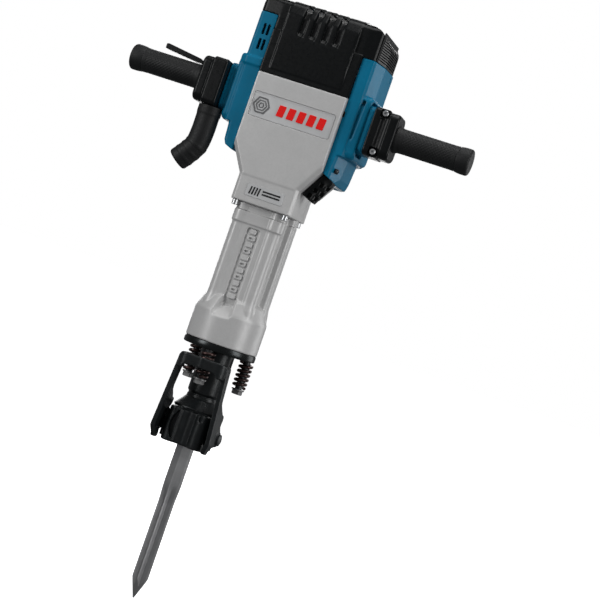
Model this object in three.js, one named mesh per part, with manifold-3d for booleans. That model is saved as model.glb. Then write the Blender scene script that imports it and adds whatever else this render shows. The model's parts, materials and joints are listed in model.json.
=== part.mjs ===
// Electric jackhammer (upright demolition breaker) with a 28 mm hexagon tool shank.
// Units are millimetres. The origin is the chisel tip, +Z runs up the hammer axis,
// -Y is the front face with the badge and +X is the side with the clamp screws.
import * as THREE from 'three';
import { mergeVertices } from 'three/addons/utils/BufferGeometryUtils.js';
import Module from 'manifold-3d';

const wasm = await Module();
wasm.setup();

// ---------------------------------------------------------------- driving dimensions
const GAP = 0.3;

// chisel
const HEX_AF = 28;
const POINT_TOP = 40;
const FLUTE_TOP = 198;
const SHANK_TOP = 425;
const CHISEL_TRAVEL = 18;

// tool holder
const HEAD_BOTTOM = 281;
const HEAD_TOP = 345;
const NECK_START = 364;
const NECK_R = 30;
const NECK_GROOVE_Z = 372;
const BORE_STEP_Z = 454.6;
const ANVIL_BORE_R = 22.4;
const HOLDER_TOP = 528;

// retaining bail and its locking pin
const PIVOT_Y = -19;
const PIVOT_Z = 310;
const PIN_R = 8;
const PIN_FLAT = 2.4;
const BAIL_SWING = 150;
const BAIL_TOP = 438;
const BAIL_BAND_BOTTOM = 411;
const BAIL_T = 8;

// holder flange, bolts and damper springs
const FLANGE_R = 65;
const FLANGE_Z = [453.3, 465.7];
const BOLT_RADIUS = 55;
const BOLT_R = 5;
const BOLT_HEAD_Z = 392;

// hammer tube
const COLLAR_Z = [466, 520];
const CONE_TOP = 546;
const TUBE_TOP = 712;
const LOBE_C = 33.5;
const LOBE_R = 14;
const LINER_R = 29;
const CYL_R = 23.3;
const LINER_Z = [560, 767];
const RAM_LEDGE_Z = [572, 579.7];

// gear housing
const NECK_HALF = 56;
const PANEL_HALF = 83;
const FRONT_Y = -56;
const HOUSING_BACK_Y = 96;
const NECK_TOP = 758;
const SHOULDER_TOP = 803;
const PANEL_TOP = 935;
const BADGE_HALF = 75;
const SCREW_X = 46.5;
const SCREW_Y = 49;

// shells and hood
const SHELL_BOTTOM = 791;
const SHELL_STEP = 838;
const SHELL_TOP = { left: 1037, right: 1010 };
const SHELL_WALL = 3.2;
const SHELL_FLOOR = SHELL_BOTTOM + 14.2;
const HOOD_TOP = 1076;
const GRILLE_BACK_Y = -14;

// handles
const GRIP_Y = -31;
const GRIP_Z = 895.5;
const GRIP_R = 21.5;
const GRIP_END = 317;
const BLOCK_X = [137, 183];
const BLOCK_BOTTOM = 852;
const CLAMP_SPACING = 34;

// drive: all shafts run along X
const CRANK_Z = 850;
const CRANK_THROW = 19;
const ROD_LENGTH = 110;
const WRIST_Z = CRANK_Z - CRANK_THROW - ROD_LENGTH;
const MODULE_MM = 2.5;
const CRANK_TEETH = 36;
const IDLER_SMALL_TEETH = 16;
const IDLER_LARGE_TEETH = 50;
const PINION_TEETH = 10;
const IDLER_POS = [22.17, 911.1];
const ROTOR_POS = [35, 985];

// ---------------------------------------------------------------- materials
const MATERIALS = {
  casting: [0xb4b5b6, 0.45, 0.35],
  blue: [0x2b7aa8, 0.42, 0.0],
  black: [0x232527, 0.62, 0.0],
  rubber: [0x1d1f20, 0.85, 0.0],
  forged: [0x2d3133, 0.5, 0.6],
  springs: [0x3a2c2a, 0.4, 0.8],
  steel: [0xb9bcc0, 0.3, 0.95],
  chisel: [0xa9acaf, 0.38, 0.9],
  copper: [0xb5713f, 0.4, 0.9],
  brass: [0xb08f4a, 0.4, 0.85],
  lamination: [0x6f7376, 0.55, 0.7],
  board: [0x2d5a3c, 0.6, 0.0],
  plate: [0xc9cbcc, 0.4, 0.4],
};

// ---------------------------------------------------------------- geometry helpers
function flipped(triangles) {
  const out = new Uint32Array(triangles.length);
  for (let i = 0; i < triangles.length; i += 3) {
    out[i] = triangles[i];
    out[i + 1] = triangles[i + 2];
    out[i + 2] = triangles[i + 1];
  }
  return out;
}

function signedVolume(points, triangles) {
  let sum = 0;
  const corner = [new THREE.Vector3(), new THREE.Vector3(), new THREE.Vector3()];
  for (let i = 0; i < triangles.length; i += 3) {
    for (let k = 0; k < 3; k += 1) {
      corner[k].fromArray(points, triangles[i + k] * 3);
    }
    sum += corner[0].dot(corner[1].clone().cross(corner[2]));
  }
  return sum;
}

// A three.js geometry as a solid that can be joined and cut.
function solid(geometry) {
  let g = geometry.clone();
  g.deleteAttribute('normal');
  g.deleteAttribute('uv');
  g = mergeVertices(g, 1e-4);
  const points = new Float32Array(g.attributes.position.array);
  let triangles = new Uint32Array(g.index.array);
  if (signedVolume(points, triangles) < 0) {
    triangles = flipped(triangles);
  }
  const mesh = new wasm.Mesh({ numProp: 3, vertProperties: points, triVerts: triangles });
  return new wasm.Manifold(mesh);
}

function join(...pieces) {
  return pieces.reduce((whole, piece) => whole.add(piece));
}

function cut(body, ...tools) {
  return tools.reduce((whole, tool) => whole.subtract(tool), body);
}

function shapeOf(points) {
  return new THREE.Shape(points.map(([x, y]) => new THREE.Vector2(x, y)));
}

function roundedRect(cx, cy, width, height, radius) {
  const x0 = cx - width / 2;
  const y0 = cy - height / 2;
  const x1 = cx + width / 2;
  const y1 = cy + height / 2;
  const s = new THREE.Shape();
  s.moveTo(x0 + radius, y0);
  s.lineTo(x1 - radius, y0);
  s.absarc(x1 - radius, y0 + radius, radius, -Math.PI / 2, 0);
  s.lineTo(x1, y1 - radius);
  s.absarc(x1 - radius, y1 - radius, radius, 0, Math.PI / 2);
  s.lineTo(x0 + radius, y1);
  s.absarc(x0 + radius, y1 - radius, radius, Math.PI / 2, Math.PI);
  s.lineTo(x0, y0 + radius);
  s.absarc(x0 + radius, y0 + radius, radius, Math.PI, 1.5 * Math.PI);
  return s;
}

function circle(cx, cy, radius) {
  const s = new THREE.Shape();
  s.absarc(cx, cy, radius, 0, Math.PI * 2);
  return s;
}

function hexagon(cx, cy, radius) {
  const points = [];
  for (let i = 0; i < 6; i += 1) {
    points.push([cx + radius * Math.cos((i * Math.PI) / 3), cy + radius * Math.sin((i * Math.PI) / 3)]);
  }
  return shapeOf(points);
}

function extrude(shape, length, bevel = 0, segments = 4) {
  return new THREE.ExtrudeGeometry(shape, {
    depth: length - 2 * bevel,
    bevelEnabled: bevel > 0,
    bevelThickness: bevel,
    bevelSize: bevel,
    bevelOffset: -bevel,
    bevelSegments: 1,
    curveSegments: segments,
  }).translate(0, 0, bevel);
}

// Shape drawn in X, Y and extruded up Z.
function alongZ(shape, z0, z1, bevel = 0, segments = 4) {
  return solid(extrude(shape, z1 - z0, bevel, segments).translate(0, 0, z0));
}

// Shape drawn in Y, Z and extruded along X.
function alongX(shape, x0, x1, bevel = 0, segments = 4) {
  const g = extrude(shape, x1 - x0, bevel, segments);
  const basis = new THREE.Matrix4().makeBasis(
    new THREE.Vector3(0, 1, 0),
    new THREE.Vector3(0, 0, 1),
    new THREE.Vector3(1, 0, 0),
  );
  return solid(g.applyMatrix4(basis).translate(x0, 0, 0));
}

// Shape drawn in X, Z and extruded along Y.
function alongY(shape, y0, y1, bevel = 0, segments = 4) {
  const g = extrude(shape, y1 - y0, bevel, segments);
  const basis = new THREE.Matrix4().makeBasis(
    new THREE.Vector3(1, 0, 0),
    new THREE.Vector3(0, 0, 1),
    new THREE.Vector3(0, -1, 0),
  );
  return solid(g.applyMatrix4(basis).translate(0, y1, 0));
}

function box(x0, x1, y0, y1, z0, z1) {
  const g = new THREE.BoxGeometry(x1 - x0, y1 - y0, z1 - z0);
  return solid(g.translate((x0 + x1) / 2, (y0 + y1) / 2, (z0 + z1) / 2));
}

// Profile of [radius, height] pairs turned about a vertical axis through x, y.
function turned(profile, x = 0, y = 0, segments = 28) {
  const g = new THREE.LatheGeometry(profile.map(([r, h]) => new THREE.Vector2(r, h)), segments);
  return solid(g.rotateX(Math.PI / 2).translate(x, y, 0));
}

// Profile of [radius, x] pairs turned about a shaft along X through y, z.
function turnedX(profile, y, z, segments = 20) {
  const g = new THREE.LatheGeometry(profile.map(([r, h]) => new THREE.Vector2(r, h)), segments);
  return solid(g.rotateZ(-Math.PI / 2).translate(0, y, z));
}

function rod(radius, z0, z1, x = 0, y = 0, segments = 28) {
  return turned([[0, z0], [radius, z0], [radius, z1], [0, z1]], x, y, segments);
}

function rodX(radius, x0, x1, y, z, segments = 18) {
  return turnedX([[0, x0], [radius, x0], [radius, x1], [0, x1]], y, z, segments);
}

// Tube or bar along a path.
function swept(path, radius, steps, sides) {
  return solid(new THREE.ExtrudeGeometry(circle(0, 0, radius), {
    steps,
    bevelEnabled: false,
    extrudePath: path,
    curveSegments: sides,
  }));
}

function hexPrism(acrossFlats, z0, z1, x = 0, y = 0, cornersOnY = true) {
  const r = acrossFlats / Math.sqrt(3);
  const points = [];
  for (let i = 0; i < 6; i += 1) {
    const a = (i * Math.PI) / 3 + (cornersOnY ? Math.PI / 2 : 0);
    points.push([x + r * Math.cos(a), y + r * Math.sin(a)]);
  }
  return alongZ(shapeOf(points), z0, z1);
}

class Helix extends THREE.Curve {
  constructor(x, y, z0, z1, radius, turns) {
    super();
    Object.assign(this, { x, y, z0, z1, radius, turns });
  }

  getPoint(t, target = new THREE.Vector3()) {
    const a = t * this.turns * 2 * Math.PI;
    const z = this.z0 + (this.z1 - this.z0) * t;
    return target.set(this.x + this.radius * Math.cos(a), this.y + this.radius * Math.sin(a), z);
  }
}

function coilSpring(x, y, z0, z1, meanRadius, wireRadius, turns) {
  const path = new Helix(x, y, z0 + wireRadius + 0.2, z1 - wireRadius - 0.2, meanRadius, turns);
  const wire = [];
  for (let i = 0; i < 5; i += 1) {
    const a = (i * 2 * Math.PI) / 5;
    wire.push([wireRadius * Math.cos(a), wireRadius * Math.sin(a)]);
  }
  return solid(new THREE.ExtrudeGeometry(shapeOf(wire), {
    steps: Math.round(turns * 9),
    bevelEnabled: false,
    extrudePath: path,
  }));
}

const group = new THREE.Group();

function add(name, material, body) {
  const data = body.getMesh();
  const g = new THREE.BufferGeometry();
  g.setAttribute('position', new THREE.BufferAttribute(new Float32Array(data.vertProperties), 3));
  g.setIndex(new THREE.BufferAttribute(new Uint32Array(data.triVerts), 1));
  g.computeVertexNormals();
  const [color, roughness, metalness] = MATERIALS[material];
  const mesh = new THREE.Mesh(g, new THREE.MeshStandardMaterial({ color, roughness, metalness }));
  mesh.name = name;
  group.add(mesh);
}

// ---------------------------------------------------------------- chisel
function makeChisel() {
  const shank = hexPrism(HEX_AF, FLUTE_TOP, SHANK_TOP);
  const star = [];
  for (let i = 0; i < 12; i += 1) {
    const a = (i * Math.PI) / 6 + Math.PI / 2;
    const r = i % 2 === 0 ? 14.6 : 10.2;
    star.push([r * Math.cos(a), r * Math.sin(a)]);
  }
  const fluted = alongZ(shapeOf(star), 0, FLUTE_TOP + 2);
  const pointCone = turned([[0, 0], [1.2, 0.8], [15.5, POINT_TOP], [15.5, FLUTE_TOP + 12],
    [0, FLUTE_TOP + 12]], 0, 0, 12);
  const runOut = turned([[0, 176], [10.6, 176], [16.3, FLUTE_TOP + 8], [16.3, 214], [0, 214]], 0, 0, 36);
  const transition = hexPrism(HEX_AF, 176, 212).intersect(runOut);
  const chamfer = turned([[0, 170], [17, 170], [17, SHANK_TOP - 3], [13.2, SHANK_TOP], [0, SHANK_TOP]]);
  const notchBottom = PIVOT_Z - PIN_R - GAP - CHISEL_TRAVEL - 0.5;
  const notchTop = PIVOT_Z + PIN_R + GAP;
  const notch = box(-20, 20, -20, PIVOT_Y + PIN_R + 0.4, notchBottom, notchTop);
  const body = join(fluted.intersect(pointCone), transition, shank.intersect(chamfer));
  add('chisel', 'chisel', cut(body, notch));
}

// ---------------------------------------------------------------- tool holder
function makeToolHolder() {
  const columns = [];
  for (const side of [-1, 1]) {
    columns.push(rod(14.5, HEAD_BOTTOM, HEAD_TOP, side * 24.5, -33, 16));
    columns.push(rod(13, HEAD_BOTTOM, HEAD_TOP, side * 24.5, 20, 12));
    columns.push(turnedX([[0, side * 20], [14, side * 20], [14, side * 45], [0, side * 45]],
      PIVOT_Y, PIVOT_Z, 16));
  }
  const core = alongZ(roundedRect(0, -6, 66, 70, 12), HEAD_BOTTOM, HEAD_TOP, 3);
  const flare = turned([[0, HEAD_TOP - 12], [40, HEAD_TOP - 12], [40, HEAD_TOP], [35, NECK_START - 8],
    [NECK_R - 1.5, NECK_START], [0, NECK_START]], 0, -2, 28);
  const neck = turned([[0, NECK_START - 4], [NECK_R - 1.5, NECK_START - 4], [NECK_R - 1.5, NECK_GROOVE_Z],
    [NECK_R - 3, NECK_GROOVE_Z + 0.5], [NECK_R - 3, NECK_GROOVE_Z + 2], [NECK_R, NECK_GROOVE_Z + 4],
    [NECK_R, HOLDER_TOP], [0, HOLDER_TOP]], 0, 0, 32);
  const hexBore = hexPrism(HEX_AF + 2 * GAP, HEAD_BOTTOM - 5, BORE_STEP_Z);
  const mouth = turned([[0, HEAD_BOTTOM - 1], [19.5, HEAD_BOTTOM - 1], [16, HEAD_BOTTOM + 4],
    [0, HEAD_BOTTOM + 4]]);
  const anvilBore = rod(ANVIL_BORE_R, BORE_STEP_Z, HOLDER_TOP + 5, 0, 0, 28);
  const pinBore = rodX(PIN_R + GAP, -60, 60, PIVOT_Y, PIVOT_Z, 16);
  const frontChannel = rod(12, HEAD_BOTTOM - 1, HEAD_TOP + 1, 0, -51, 14);
  const body = cut(join(core, flare, neck, ...columns), hexBore, mouth, anvilBore, pinBore, frontChannel);
  add('tool_holder', 'forged', body);
}

function makeBail() {
  const halfTop = 45;
  const outer = roundedRect(0, -52, 2 * halfTop, 54, 14);
  const inner = roundedRect(0, -52 + BAIL_T, 2 * (halfTop - BAIL_T), 54, 8);
  const strap = alongZ(outer, BAIL_BAND_BOTTOM, BAIL_TOP, 2);
  const hollow = alongZ(inner, BAIL_BAND_BOTTOM - 2, BAIL_TOP + 2);
  const rearCut = box(-60, 60, -45, 20, BAIL_BAND_BOTTOM - 2, BAIL_TOP + 2);
  const arch = box(-30, 30, -90, -40, BAIL_BAND_BOTTOM - 2, BAIL_BAND_BOTTOM + 8);
  const arms = [];
  for (const side of [-1, 1]) {
    const outline = shapeOf([[-66, BAIL_TOP - 1], [-61, 300], [-55, 281], [-41, 281], [-33, 294],
      [-24, 296], [-12, 296], [-5, 303], [-5, 318], [-13, 325], [-20, 334], [-14, 342], [-14, 352],
      [-24, 354], [-45, 358], [-45, BAIL_TOP - 1]]);
    const g = extrude(outline, BAIL_T, 1);
    const basis = new THREE.Matrix4().makeBasis(
      new THREE.Vector3(0, 1, 0),
      new THREE.Vector3(0, 0, 1),
      new THREE.Vector3(1, 0, 0),
    );
    g.applyMatrix4(basis).translate(-BAIL_T / 2, 0, 0);
    const p = g.attributes.position;
    for (let i = 0; i < p.count; i += 1) {
      const lean = side * (51 - ((p.getZ(i) - 310) * 10) / (BAIL_TOP - 310));
      p.setX(i, p.getX(i) + lean);
    }
    arms.push(solid(g));
  }
  const pinHole = rodX(PIN_R + GAP, -62, 62, PIVOT_Y, PIVOT_Z, 16);
  const band = cut(strap, hollow, rearCut, arch);
  add('retaining_bail', 'forged', cut(join(band, ...arms), pinHole));
  const pin = rodX(PIN_R, -58, 58, PIVOT_Y, PIVOT_Z, 16);
  const head = rodX(11, 56.5, 61, PIVOT_Y, PIVOT_Z, 16);
  const nut = rodX(11, -61, -56.5, PIVOT_Y, PIVOT_Z, 6);
  const flat = new THREE.BoxGeometry(42, 12, 24).translate(0, -PIN_FLAT - 6, 0);
  flat.rotateX(THREE.MathUtils.degToRad(180 - BAIL_SWING)).translate(0, PIVOT_Y, PIVOT_Z);
  add('locking_pin', 'steel', cut(join(pin, head, nut), solid(flat)));
}

// ---------------------------------------------------------------- flange, bolts and springs
const BOLT_ANGLES = { front: -90, right: 30, left: 150 };

function boltPosition(name) {
  const a = THREE.MathUtils.degToRad(BOLT_ANGLES[name]);
  return [BOLT_RADIUS * Math.cos(a), BOLT_RADIUS * Math.sin(a)];
}

function makeHolderFlange() {
  const [z0, z1] = FLANGE_Z;
  const ring = turned([[NECK_R + GAP, z0], [FLANGE_R - 1.5, z0], [FLANGE_R, z0 + 1.5], [FLANGE_R, z1 - 1],
    [FLANGE_R - 1, z1], [NECK_R + GAP, z1], [NECK_R + GAP, z0]], 0, 0, 36);
  const holes = Object.keys(BOLT_ANGLES).map((name) => {
    const [x, y] = boltPosition(name);
    return rod(BOLT_R + GAP, z0 - 2, z1 + 2, x, y, 14);
  });
  add('holder_flange', 'forged', cut(ring, ...holes));
  for (const name of Object.keys(BOLT_ANGLES)) {
    const [x, y] = boltPosition(name);
    const head = hexPrism(17, BOLT_HEAD_Z, BOLT_HEAD_Z + 8, x, y, false);
    const washer = rod(11.5, BOLT_HEAD_Z + 7.5, BOLT_HEAD_Z + 10, x, y, 18);
    const shaft = rod(BOLT_R, BOLT_HEAD_Z + 5, COLLAR_Z[0] + 24, x, y, 12);
    add(`spring_bolt_${name}`, 'steel', join(head, washer, shaft));
    add(`damper_spring_${name}`, 'springs', coilSpring(x, y, BOLT_HEAD_Z + 10.2, z0, 10.6, 2.1, 5.5));
  }
}

// ---------------------------------------------------------------- hammer tube and hammer mechanism
function makeHammerTube() {
  const collar = turned([[0, COLLAR_Z[0]], [FLANGE_R, COLLAR_Z[0]], [FLANGE_R, COLLAR_Z[1]], [54, CONE_TOP],
    [46, CONE_TOP + 3], [0, CONE_TOP + 3]], 0, 0, 40);
  const core = rod(43.5, COLLAR_Z[1], TUBE_TOP, 0, 0, 32);
  const pieces = [];
  for (const sx of [-1, 1]) {
    for (const sy of [-1, 1]) {
      pieces.push(rod(LOBE_R, COLLAR_Z[1] + 10, TUBE_TOP, sx * LOBE_C, sy * LOBE_C, 14));
      pieces.push(rod(LOBE_R + 1.6, 678, TUBE_TOP - 12, sx * LOBE_C, sy * LOBE_C, 14));
    }
    pieces.push(alongZ(roundedRect(sx * 40.2, 2, 24.4, 34, 5), COLLAR_Z[1] + 10, TUBE_TOP));
    pieces.push(alongZ(roundedRect(0, sx * 37, 56, 18, 4), COLLAR_Z[1] + 10, TUBE_TOP));
  }
  const channel = alongY(roundedRect(0, 607, 22, 136, 4), -60, -41.5);
  const bore = rod(LINER_R + GAP, LINER_Z[0], TUBE_TOP + 5);
  const lowerBore = rod(NECK_R + GAP, COLLAR_Z[0] - 5, LINER_Z[0]);
  const boltHoles = Object.keys(BOLT_ANGLES).map((name) => {
    const [x, y] = boltPosition(name);
    return rod(BOLT_R + GAP, COLLAR_Z[0] - 3, COLLAR_Z[0] + 25, x, y, 12);
  });
  const body = cut(join(collar, core, ...pieces), channel, bore, lowerBore, ...boltHoles);
  add('hammer_tube', 'casting', body);
}

function makeHammerMechanism() {
  const [l0, l1] = LINER_Z;
  const liner = cut(rod(LINER_R, l0 + GAP, l1), rod(CYL_R, RAM_LEDGE_Z[1], l1 + 5),
    rod(15, l0 - 2, RAM_LEDGE_Z[1] + 1), rod(CYL_R, l0 - 2, RAM_LEDGE_Z[0]));
  add('cylinder_liner', 'steel', liner);
  const anvil = turned([[0, SHANK_TOP + GAP], [12.5, SHANK_TOP + GAP], [13.5, SHANK_TOP + 1.5],
    [13.5, BORE_STEP_Z + 0.4], [20, BORE_STEP_Z + 0.4], [22, BORE_STEP_Z + 2], [22, 498], [18, 503],
    [12, 508], [12, 558], [10.5, 560], [0, 560]], 0, 0, 28);
  add('impact_bolt', 'steel', anvil);
  const ram = turned([[0, 580], [15, 580], [17, 582], [21, 590], [23, 594], [23, 648], [21, 650],
    [0, 650]], 0, 0, 28);
  add('ram', 'steel', ram);
  const crown = turned([[0, 690], [22, 690], [23, 691], [23, 740], [18, 740], [18, 704], [0, 704]], 0, 0, 28);
  const bosses = join(box(-22, -10, -9, 9, 700, 736), box(10, 22, -9, 9, 700, 736));
  const pinBore = rodX(6.3, -30, 30, 0, WRIST_Z);
  const outside = rod(22.9, 680, 745);
  add('piston', 'steel', cut(join(crown, bosses.intersect(outside)), pinBore));
  add('wrist_pin', 'steel', rodX(6, -21, 21, 0, WRIST_Z, 20));
  const bigEndZ = CRANK_Z - CRANK_THROW;
  const shankShape = shapeOf([[-7, WRIST_Z], [7, WRIST_Z], [9, bigEndZ], [-9, bigEndZ]]);
  const shank = alongX(shankShape, -6, 6);
  const smallEnd = rodX(10, -7, 7, 0, WRIST_Z, 24);
  const bigEnd = rodX(17, -8, 8, 0, bigEndZ, 28);
  const smallBore = rodX(6.3, -20, 20, 0, WRIST_Z, 20);
  const bigBore = rodX(10, -20, 20, 0, bigEndZ, 24);
  add('connecting_rod', 'steel', cut(join(shank, smallEnd, bigEnd), smallBore, bigBore));
}

// ---------------------------------------------------------------- gears
function gearShape(teeth, phase) {
  const pitchR = (MODULE_MM * teeth) / 2;
  const outerR = pitchR + 0.75 * MODULE_MM;
  const rootR = pitchR - 1.15 * MODULE_MM;
  const pitchAngle = (2 * Math.PI) / teeth;
  const s = [];
  for (let i = 0; i < teeth; i += 1) {
    const a = phase + i * pitchAngle;
    for (const [r, f] of [[rootR, -0.29], [outerR, -0.12], [outerR, 0.12], [rootR, 0.29]]) {
      s.push([r * Math.cos(a + f * pitchAngle), r * Math.sin(a + f * pitchAngle)]);
    }
  }
  return s;
}

function gear(teeth, phase, x0, x1, [y, z]) {
  const points = gearShape(teeth, phase).map(([a, b]) => [a + y, b + z]);
  return alongX(shapeOf(points), x0, x1);
}

function lineAngle(from, to) {
  return Math.atan2(to[1] - from[1], to[0] - from[0]);
}

// Phase of the second gear so its gap faces the first gear's tooth on the line of centres.
function meshPhase(phase1, teeth1, angle, teeth2) {
  return angle + Math.PI + (Math.PI - (phase1 - angle) * teeth1) / teeth2;
}

function makeDrive() {
  const crankPos = [0, CRANK_Z];
  const toIdler = lineAngle(crankPos, IDLER_POS);
  const toRotor = lineAngle(IDLER_POS, ROTOR_POS);
  const idlerPhase = meshPhase(0, CRANK_TEETH, toIdler, IDLER_SMALL_TEETH);
  const largePhase = toRotor;
  const pinionPhase = meshPhase(largePhase, IDLER_LARGE_TEETH, toRotor, PINION_TEETH);

  const crankGear = cut(gear(CRANK_TEETH, 0, 34, 46, crankPos), rodX(12.6, 30, 50, 0, CRANK_Z));
  add('crank_gear', 'steel', crankGear);
  const throwZ = CRANK_Z - CRANK_THROW;
  const web = alongX(circle(0, CRANK_Z, 30), 14, 22, 1, 8);
  const pinStub = rodX(9.4, 9, 16, 0, throwZ);
  const shaft = rodX(12.3, 20, 57, 0, CRANK_Z);
  add('crankshaft', 'steel', join(web, pinStub, shaft));

  const idlerShaft = rodX(9, 28, 71, ...IDLER_POS);
  const small = gear(IDLER_SMALL_TEETH, idlerPhase, 34, 46, IDLER_POS);
  add('idler_pinion', 'steel', join(idlerShaft, small));
  const large = gear(IDLER_LARGE_TEETH, largePhase, 62, 70, IDLER_POS);
  const lightening = [];
  for (let i = 0; i < 5; i += 1) {
    const a = (i * 2 * Math.PI) / 5;
    lightening.push(rodX(12, 55, 80, IDLER_POS[0] + 35 * Math.cos(a), IDLER_POS[1] + 35 * Math.sin(a), 10));
  }
  add('idler_gear', 'steel', cut(large, rodX(9.3, 55, 80, ...IDLER_POS), ...lightening));

  const [ry, rz] = ROTOR_POS;
  const rotorShaft = rodX(6, -92, 61.5, ry, rz);
  const pinion = gear(PINION_TEETH, pinionPhase, 61.5, 71, ROTOR_POS);
  add('rotor_shaft', 'steel', join(rotorShaft, pinion));
  const slots = [];
  for (let i = 0; i < 12; i += 1) {
    const a = (i * Math.PI) / 6;
    slots.push(rodX(2.4, -40, 40, ry + 24.5 * Math.cos(a), rz + 24.5 * Math.sin(a), 6));
  }
  const core = cut(rodX(26, -34, 24, ry, rz, 24), rodX(6.3, -40, 40, ry, rz), ...slots);
  add('rotor_core', 'lamination', core);
  add('commutator', 'copper', cut(rodX(16, -72, -48, ry, rz, 24), rodX(6.3, -80, -40, ry, rz)));
  const blades = [];
  for (let i = 0; i < 9; i += 1) {
    const blade = new THREE.BoxGeometry(10, 28, 2.4).translate(0, 24, 0).rotateX((i * 2 * Math.PI) / 9);
    blades.push(solid(blade.translate(41.5, ry, rz)));
  }
  const hub = join(rodX(12, 35, 47, ry, rz), rodX(38, 35, 37.4, ry, rz, 24));
  add('cooling_fan', 'black', cut(join(hub, ...blades), rodX(6.3, 30, 50, ry, rz)));

  const statorBody = cut(rodX(44, -37, 27, ry, rz, 28), rodX(27.4, -40, 40, ry, rz, 28));
  add('stator', 'lamination', statorBody);
  for (const [name, side] of [['upper', 1], ['lower', -1]]) {
    const brush = box(-65, -55, ry - 5, ry + 5, rz + (side > 0 ? 17 : -36), rz + (side > 0 ? 36 : -17));
    const cap = box(-68, -52, ry - 8, ry + 8, rz + (side > 0 ? 30 : -36), rz + (side > 0 ? 36 : -30));
    add(`brush_holder_${name}`, 'brass', join(brush, cap));
  }
}

function makeBearingPlates() {
  const [ry, rz] = ROTOR_POS;
  const outline = roundedRect(33, 1003, 140, 122, 14);
  const slot = (y, z, w, h) => box(-120, 120, y - w / 2, y + w / 2, z - h / 2, z + h / 2);
  const vents = [slot(-22, 1000, 14, 70), slot(86, 1000, 14, 70), slot(ry, 1054, 70, 8)];
  const left = cut(alongX(outline, -92, -84), rodX(6.5, -100, -70, ry, rz), ...vents);
  const leftHub = cut(rodX(15, -86, -77, ry, rz), rodX(6.5, -100, -70, ry, rz));
  add('motor_plate_left', 'casting', join(left, leftHub));
  const clearGear = rodX(67, 57.5, 80, ...IDLER_POS, 28);
  const right = cut(alongX(outline, 50, 60), rodX(6.5, 40, 70, ry, rz), clearGear, ...vents);
  add('motor_plate_right', 'casting', right);
  const gearPlate = alongX(roundedRect(20, 858, 137.4, 151.6, 8), 50, 57);
  const crankBore = rodX(12.8, 40, 70, 0, CRANK_Z);
  const idlerBore = rodX(9.4, 40, 70, ...IDLER_POS);
  add('gear_plate', 'casting', cut(gearPlate, crankBore, idlerBore));
  const board = box(-74, -66, -40, 84, 830, 930);
  const parts = [box(-66.5, -52, -20, 10, 850, 890), box(-66.5, -56, 30, 60, 860, 900)];
  for (let i = 0; i < 3; i += 1) {
    parts.push(rodX(8, -66.5, -46, -22 + 24 * i, 912, 16));
  }
  add('control_module', 'board', join(board, ...parts));
}

// ---------------------------------------------------------------- gear housing
function makeGearHousing() {
  const front = shapeOf([[-NECK_HALF, TUBE_TOP + GAP], [NECK_HALF, TUBE_TOP + GAP], [NECK_HALF, NECK_TOP],
    [PANEL_HALF, SHOULDER_TOP], [PANEL_HALF, PANEL_TOP], [-PANEL_HALF, PANEL_TOP],
    [-PANEL_HALF, SHOULDER_TOP], [-NECK_HALF, NECK_TOP]]);
  const rear = shapeOf([[-57.2, 762], [57.2, 762], [PANEL_HALF, SHOULDER_TOP], [PANEL_HALF, PANEL_TOP],
    [-PANEL_HALF, PANEL_TOP], [-PANEL_HALF, SHOULDER_TOP]]);
  const cavity = shapeOf([[-50, 768], [50, 768], [76, 811], [76, PANEL_TOP + 5], [-76, PANEL_TOP + 5],
    [-76, 811]]);
  const outer = join(alongY(front, FRONT_Y, 56, 3), alongY(rear, -30, HOUSING_BACK_Y));
  const hollow = alongY(cavity, FRONT_Y + 7, HOUSING_BACK_Y - 6);
  const bore = rod(LINER_R + GAP, TUBE_TOP - 5, LINER_Z[1] + 8);
  const badge = alongY(roundedRect(0, 878.8, 2 * BADGE_HALF, 43.4, 4), FRONT_Y - 5, FRONT_Y + 2);
  const label = box(-34, 36, FRONT_Y - 5, FRONT_Y + 1.2, 724, 746);
  const screws = [];
  for (const sx of [-1, 1]) {
    for (const sy of [-1, 1]) {
      screws.push(rod(3.3, TUBE_TOP - 5, TUBE_TOP + 14, sx * SCREW_X, sy * SCREW_Y, 10));
    }
  }
  add('gear_housing', 'casting', cut(outer, hollow, bore, badge, label, ...screws));
  const face = alongY(roundedRect(0, 878.8, 2 * BADGE_HALF - 1, 42.4, 3.6), FRONT_Y + 0.4, FRONT_Y + 1.7);
  const field = alongY(roundedRect(0, 878.8, 2 * BADGE_HALF - 4, 39.4, 3), FRONT_Y - 1, FRONT_Y + 0.9);
  const rim = cut(face, field);
  const bars = [];
  for (let i = 0; i < 5; i += 1) {
    bars.push(box(-26 + i * 18, -13 + i * 18, FRONT_Y, FRONT_Y + 1.5, 869, 889));
  }
  const emblem = alongY(hexagon(-56, 879, 14), FRONT_Y, FRONT_Y + 1.5);
  add('badge_plate', 'plate', join(rim, emblem, ...bars));
  add('type_plate', 'plate', box(-33.6, 35.6, FRONT_Y + 0.1, FRONT_Y + 0.9, 724.4, 745.6));
  for (const [name, sx, sy] of [['front_left', -1, -1], ['front_right', 1, -1], ['rear_left', -1, 1],
    ['rear_right', 1, 1]]) {
    const x = sx * SCREW_X;
    const y = sy * SCREW_Y;
    const head = rod(5.4, TUBE_TOP - 9, TUBE_TOP, x, y, 14);
    const socket = hexPrism(5, TUBE_TOP - 10, TUBE_TOP - 4, x, y);
    const shaft = rod(3, TUBE_TOP - 1, TUBE_TOP + 13, x, y, 8);
    add(`neck_screw_${name}`, 'steel', cut(join(head, shaft), socket));
  }
}

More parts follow.
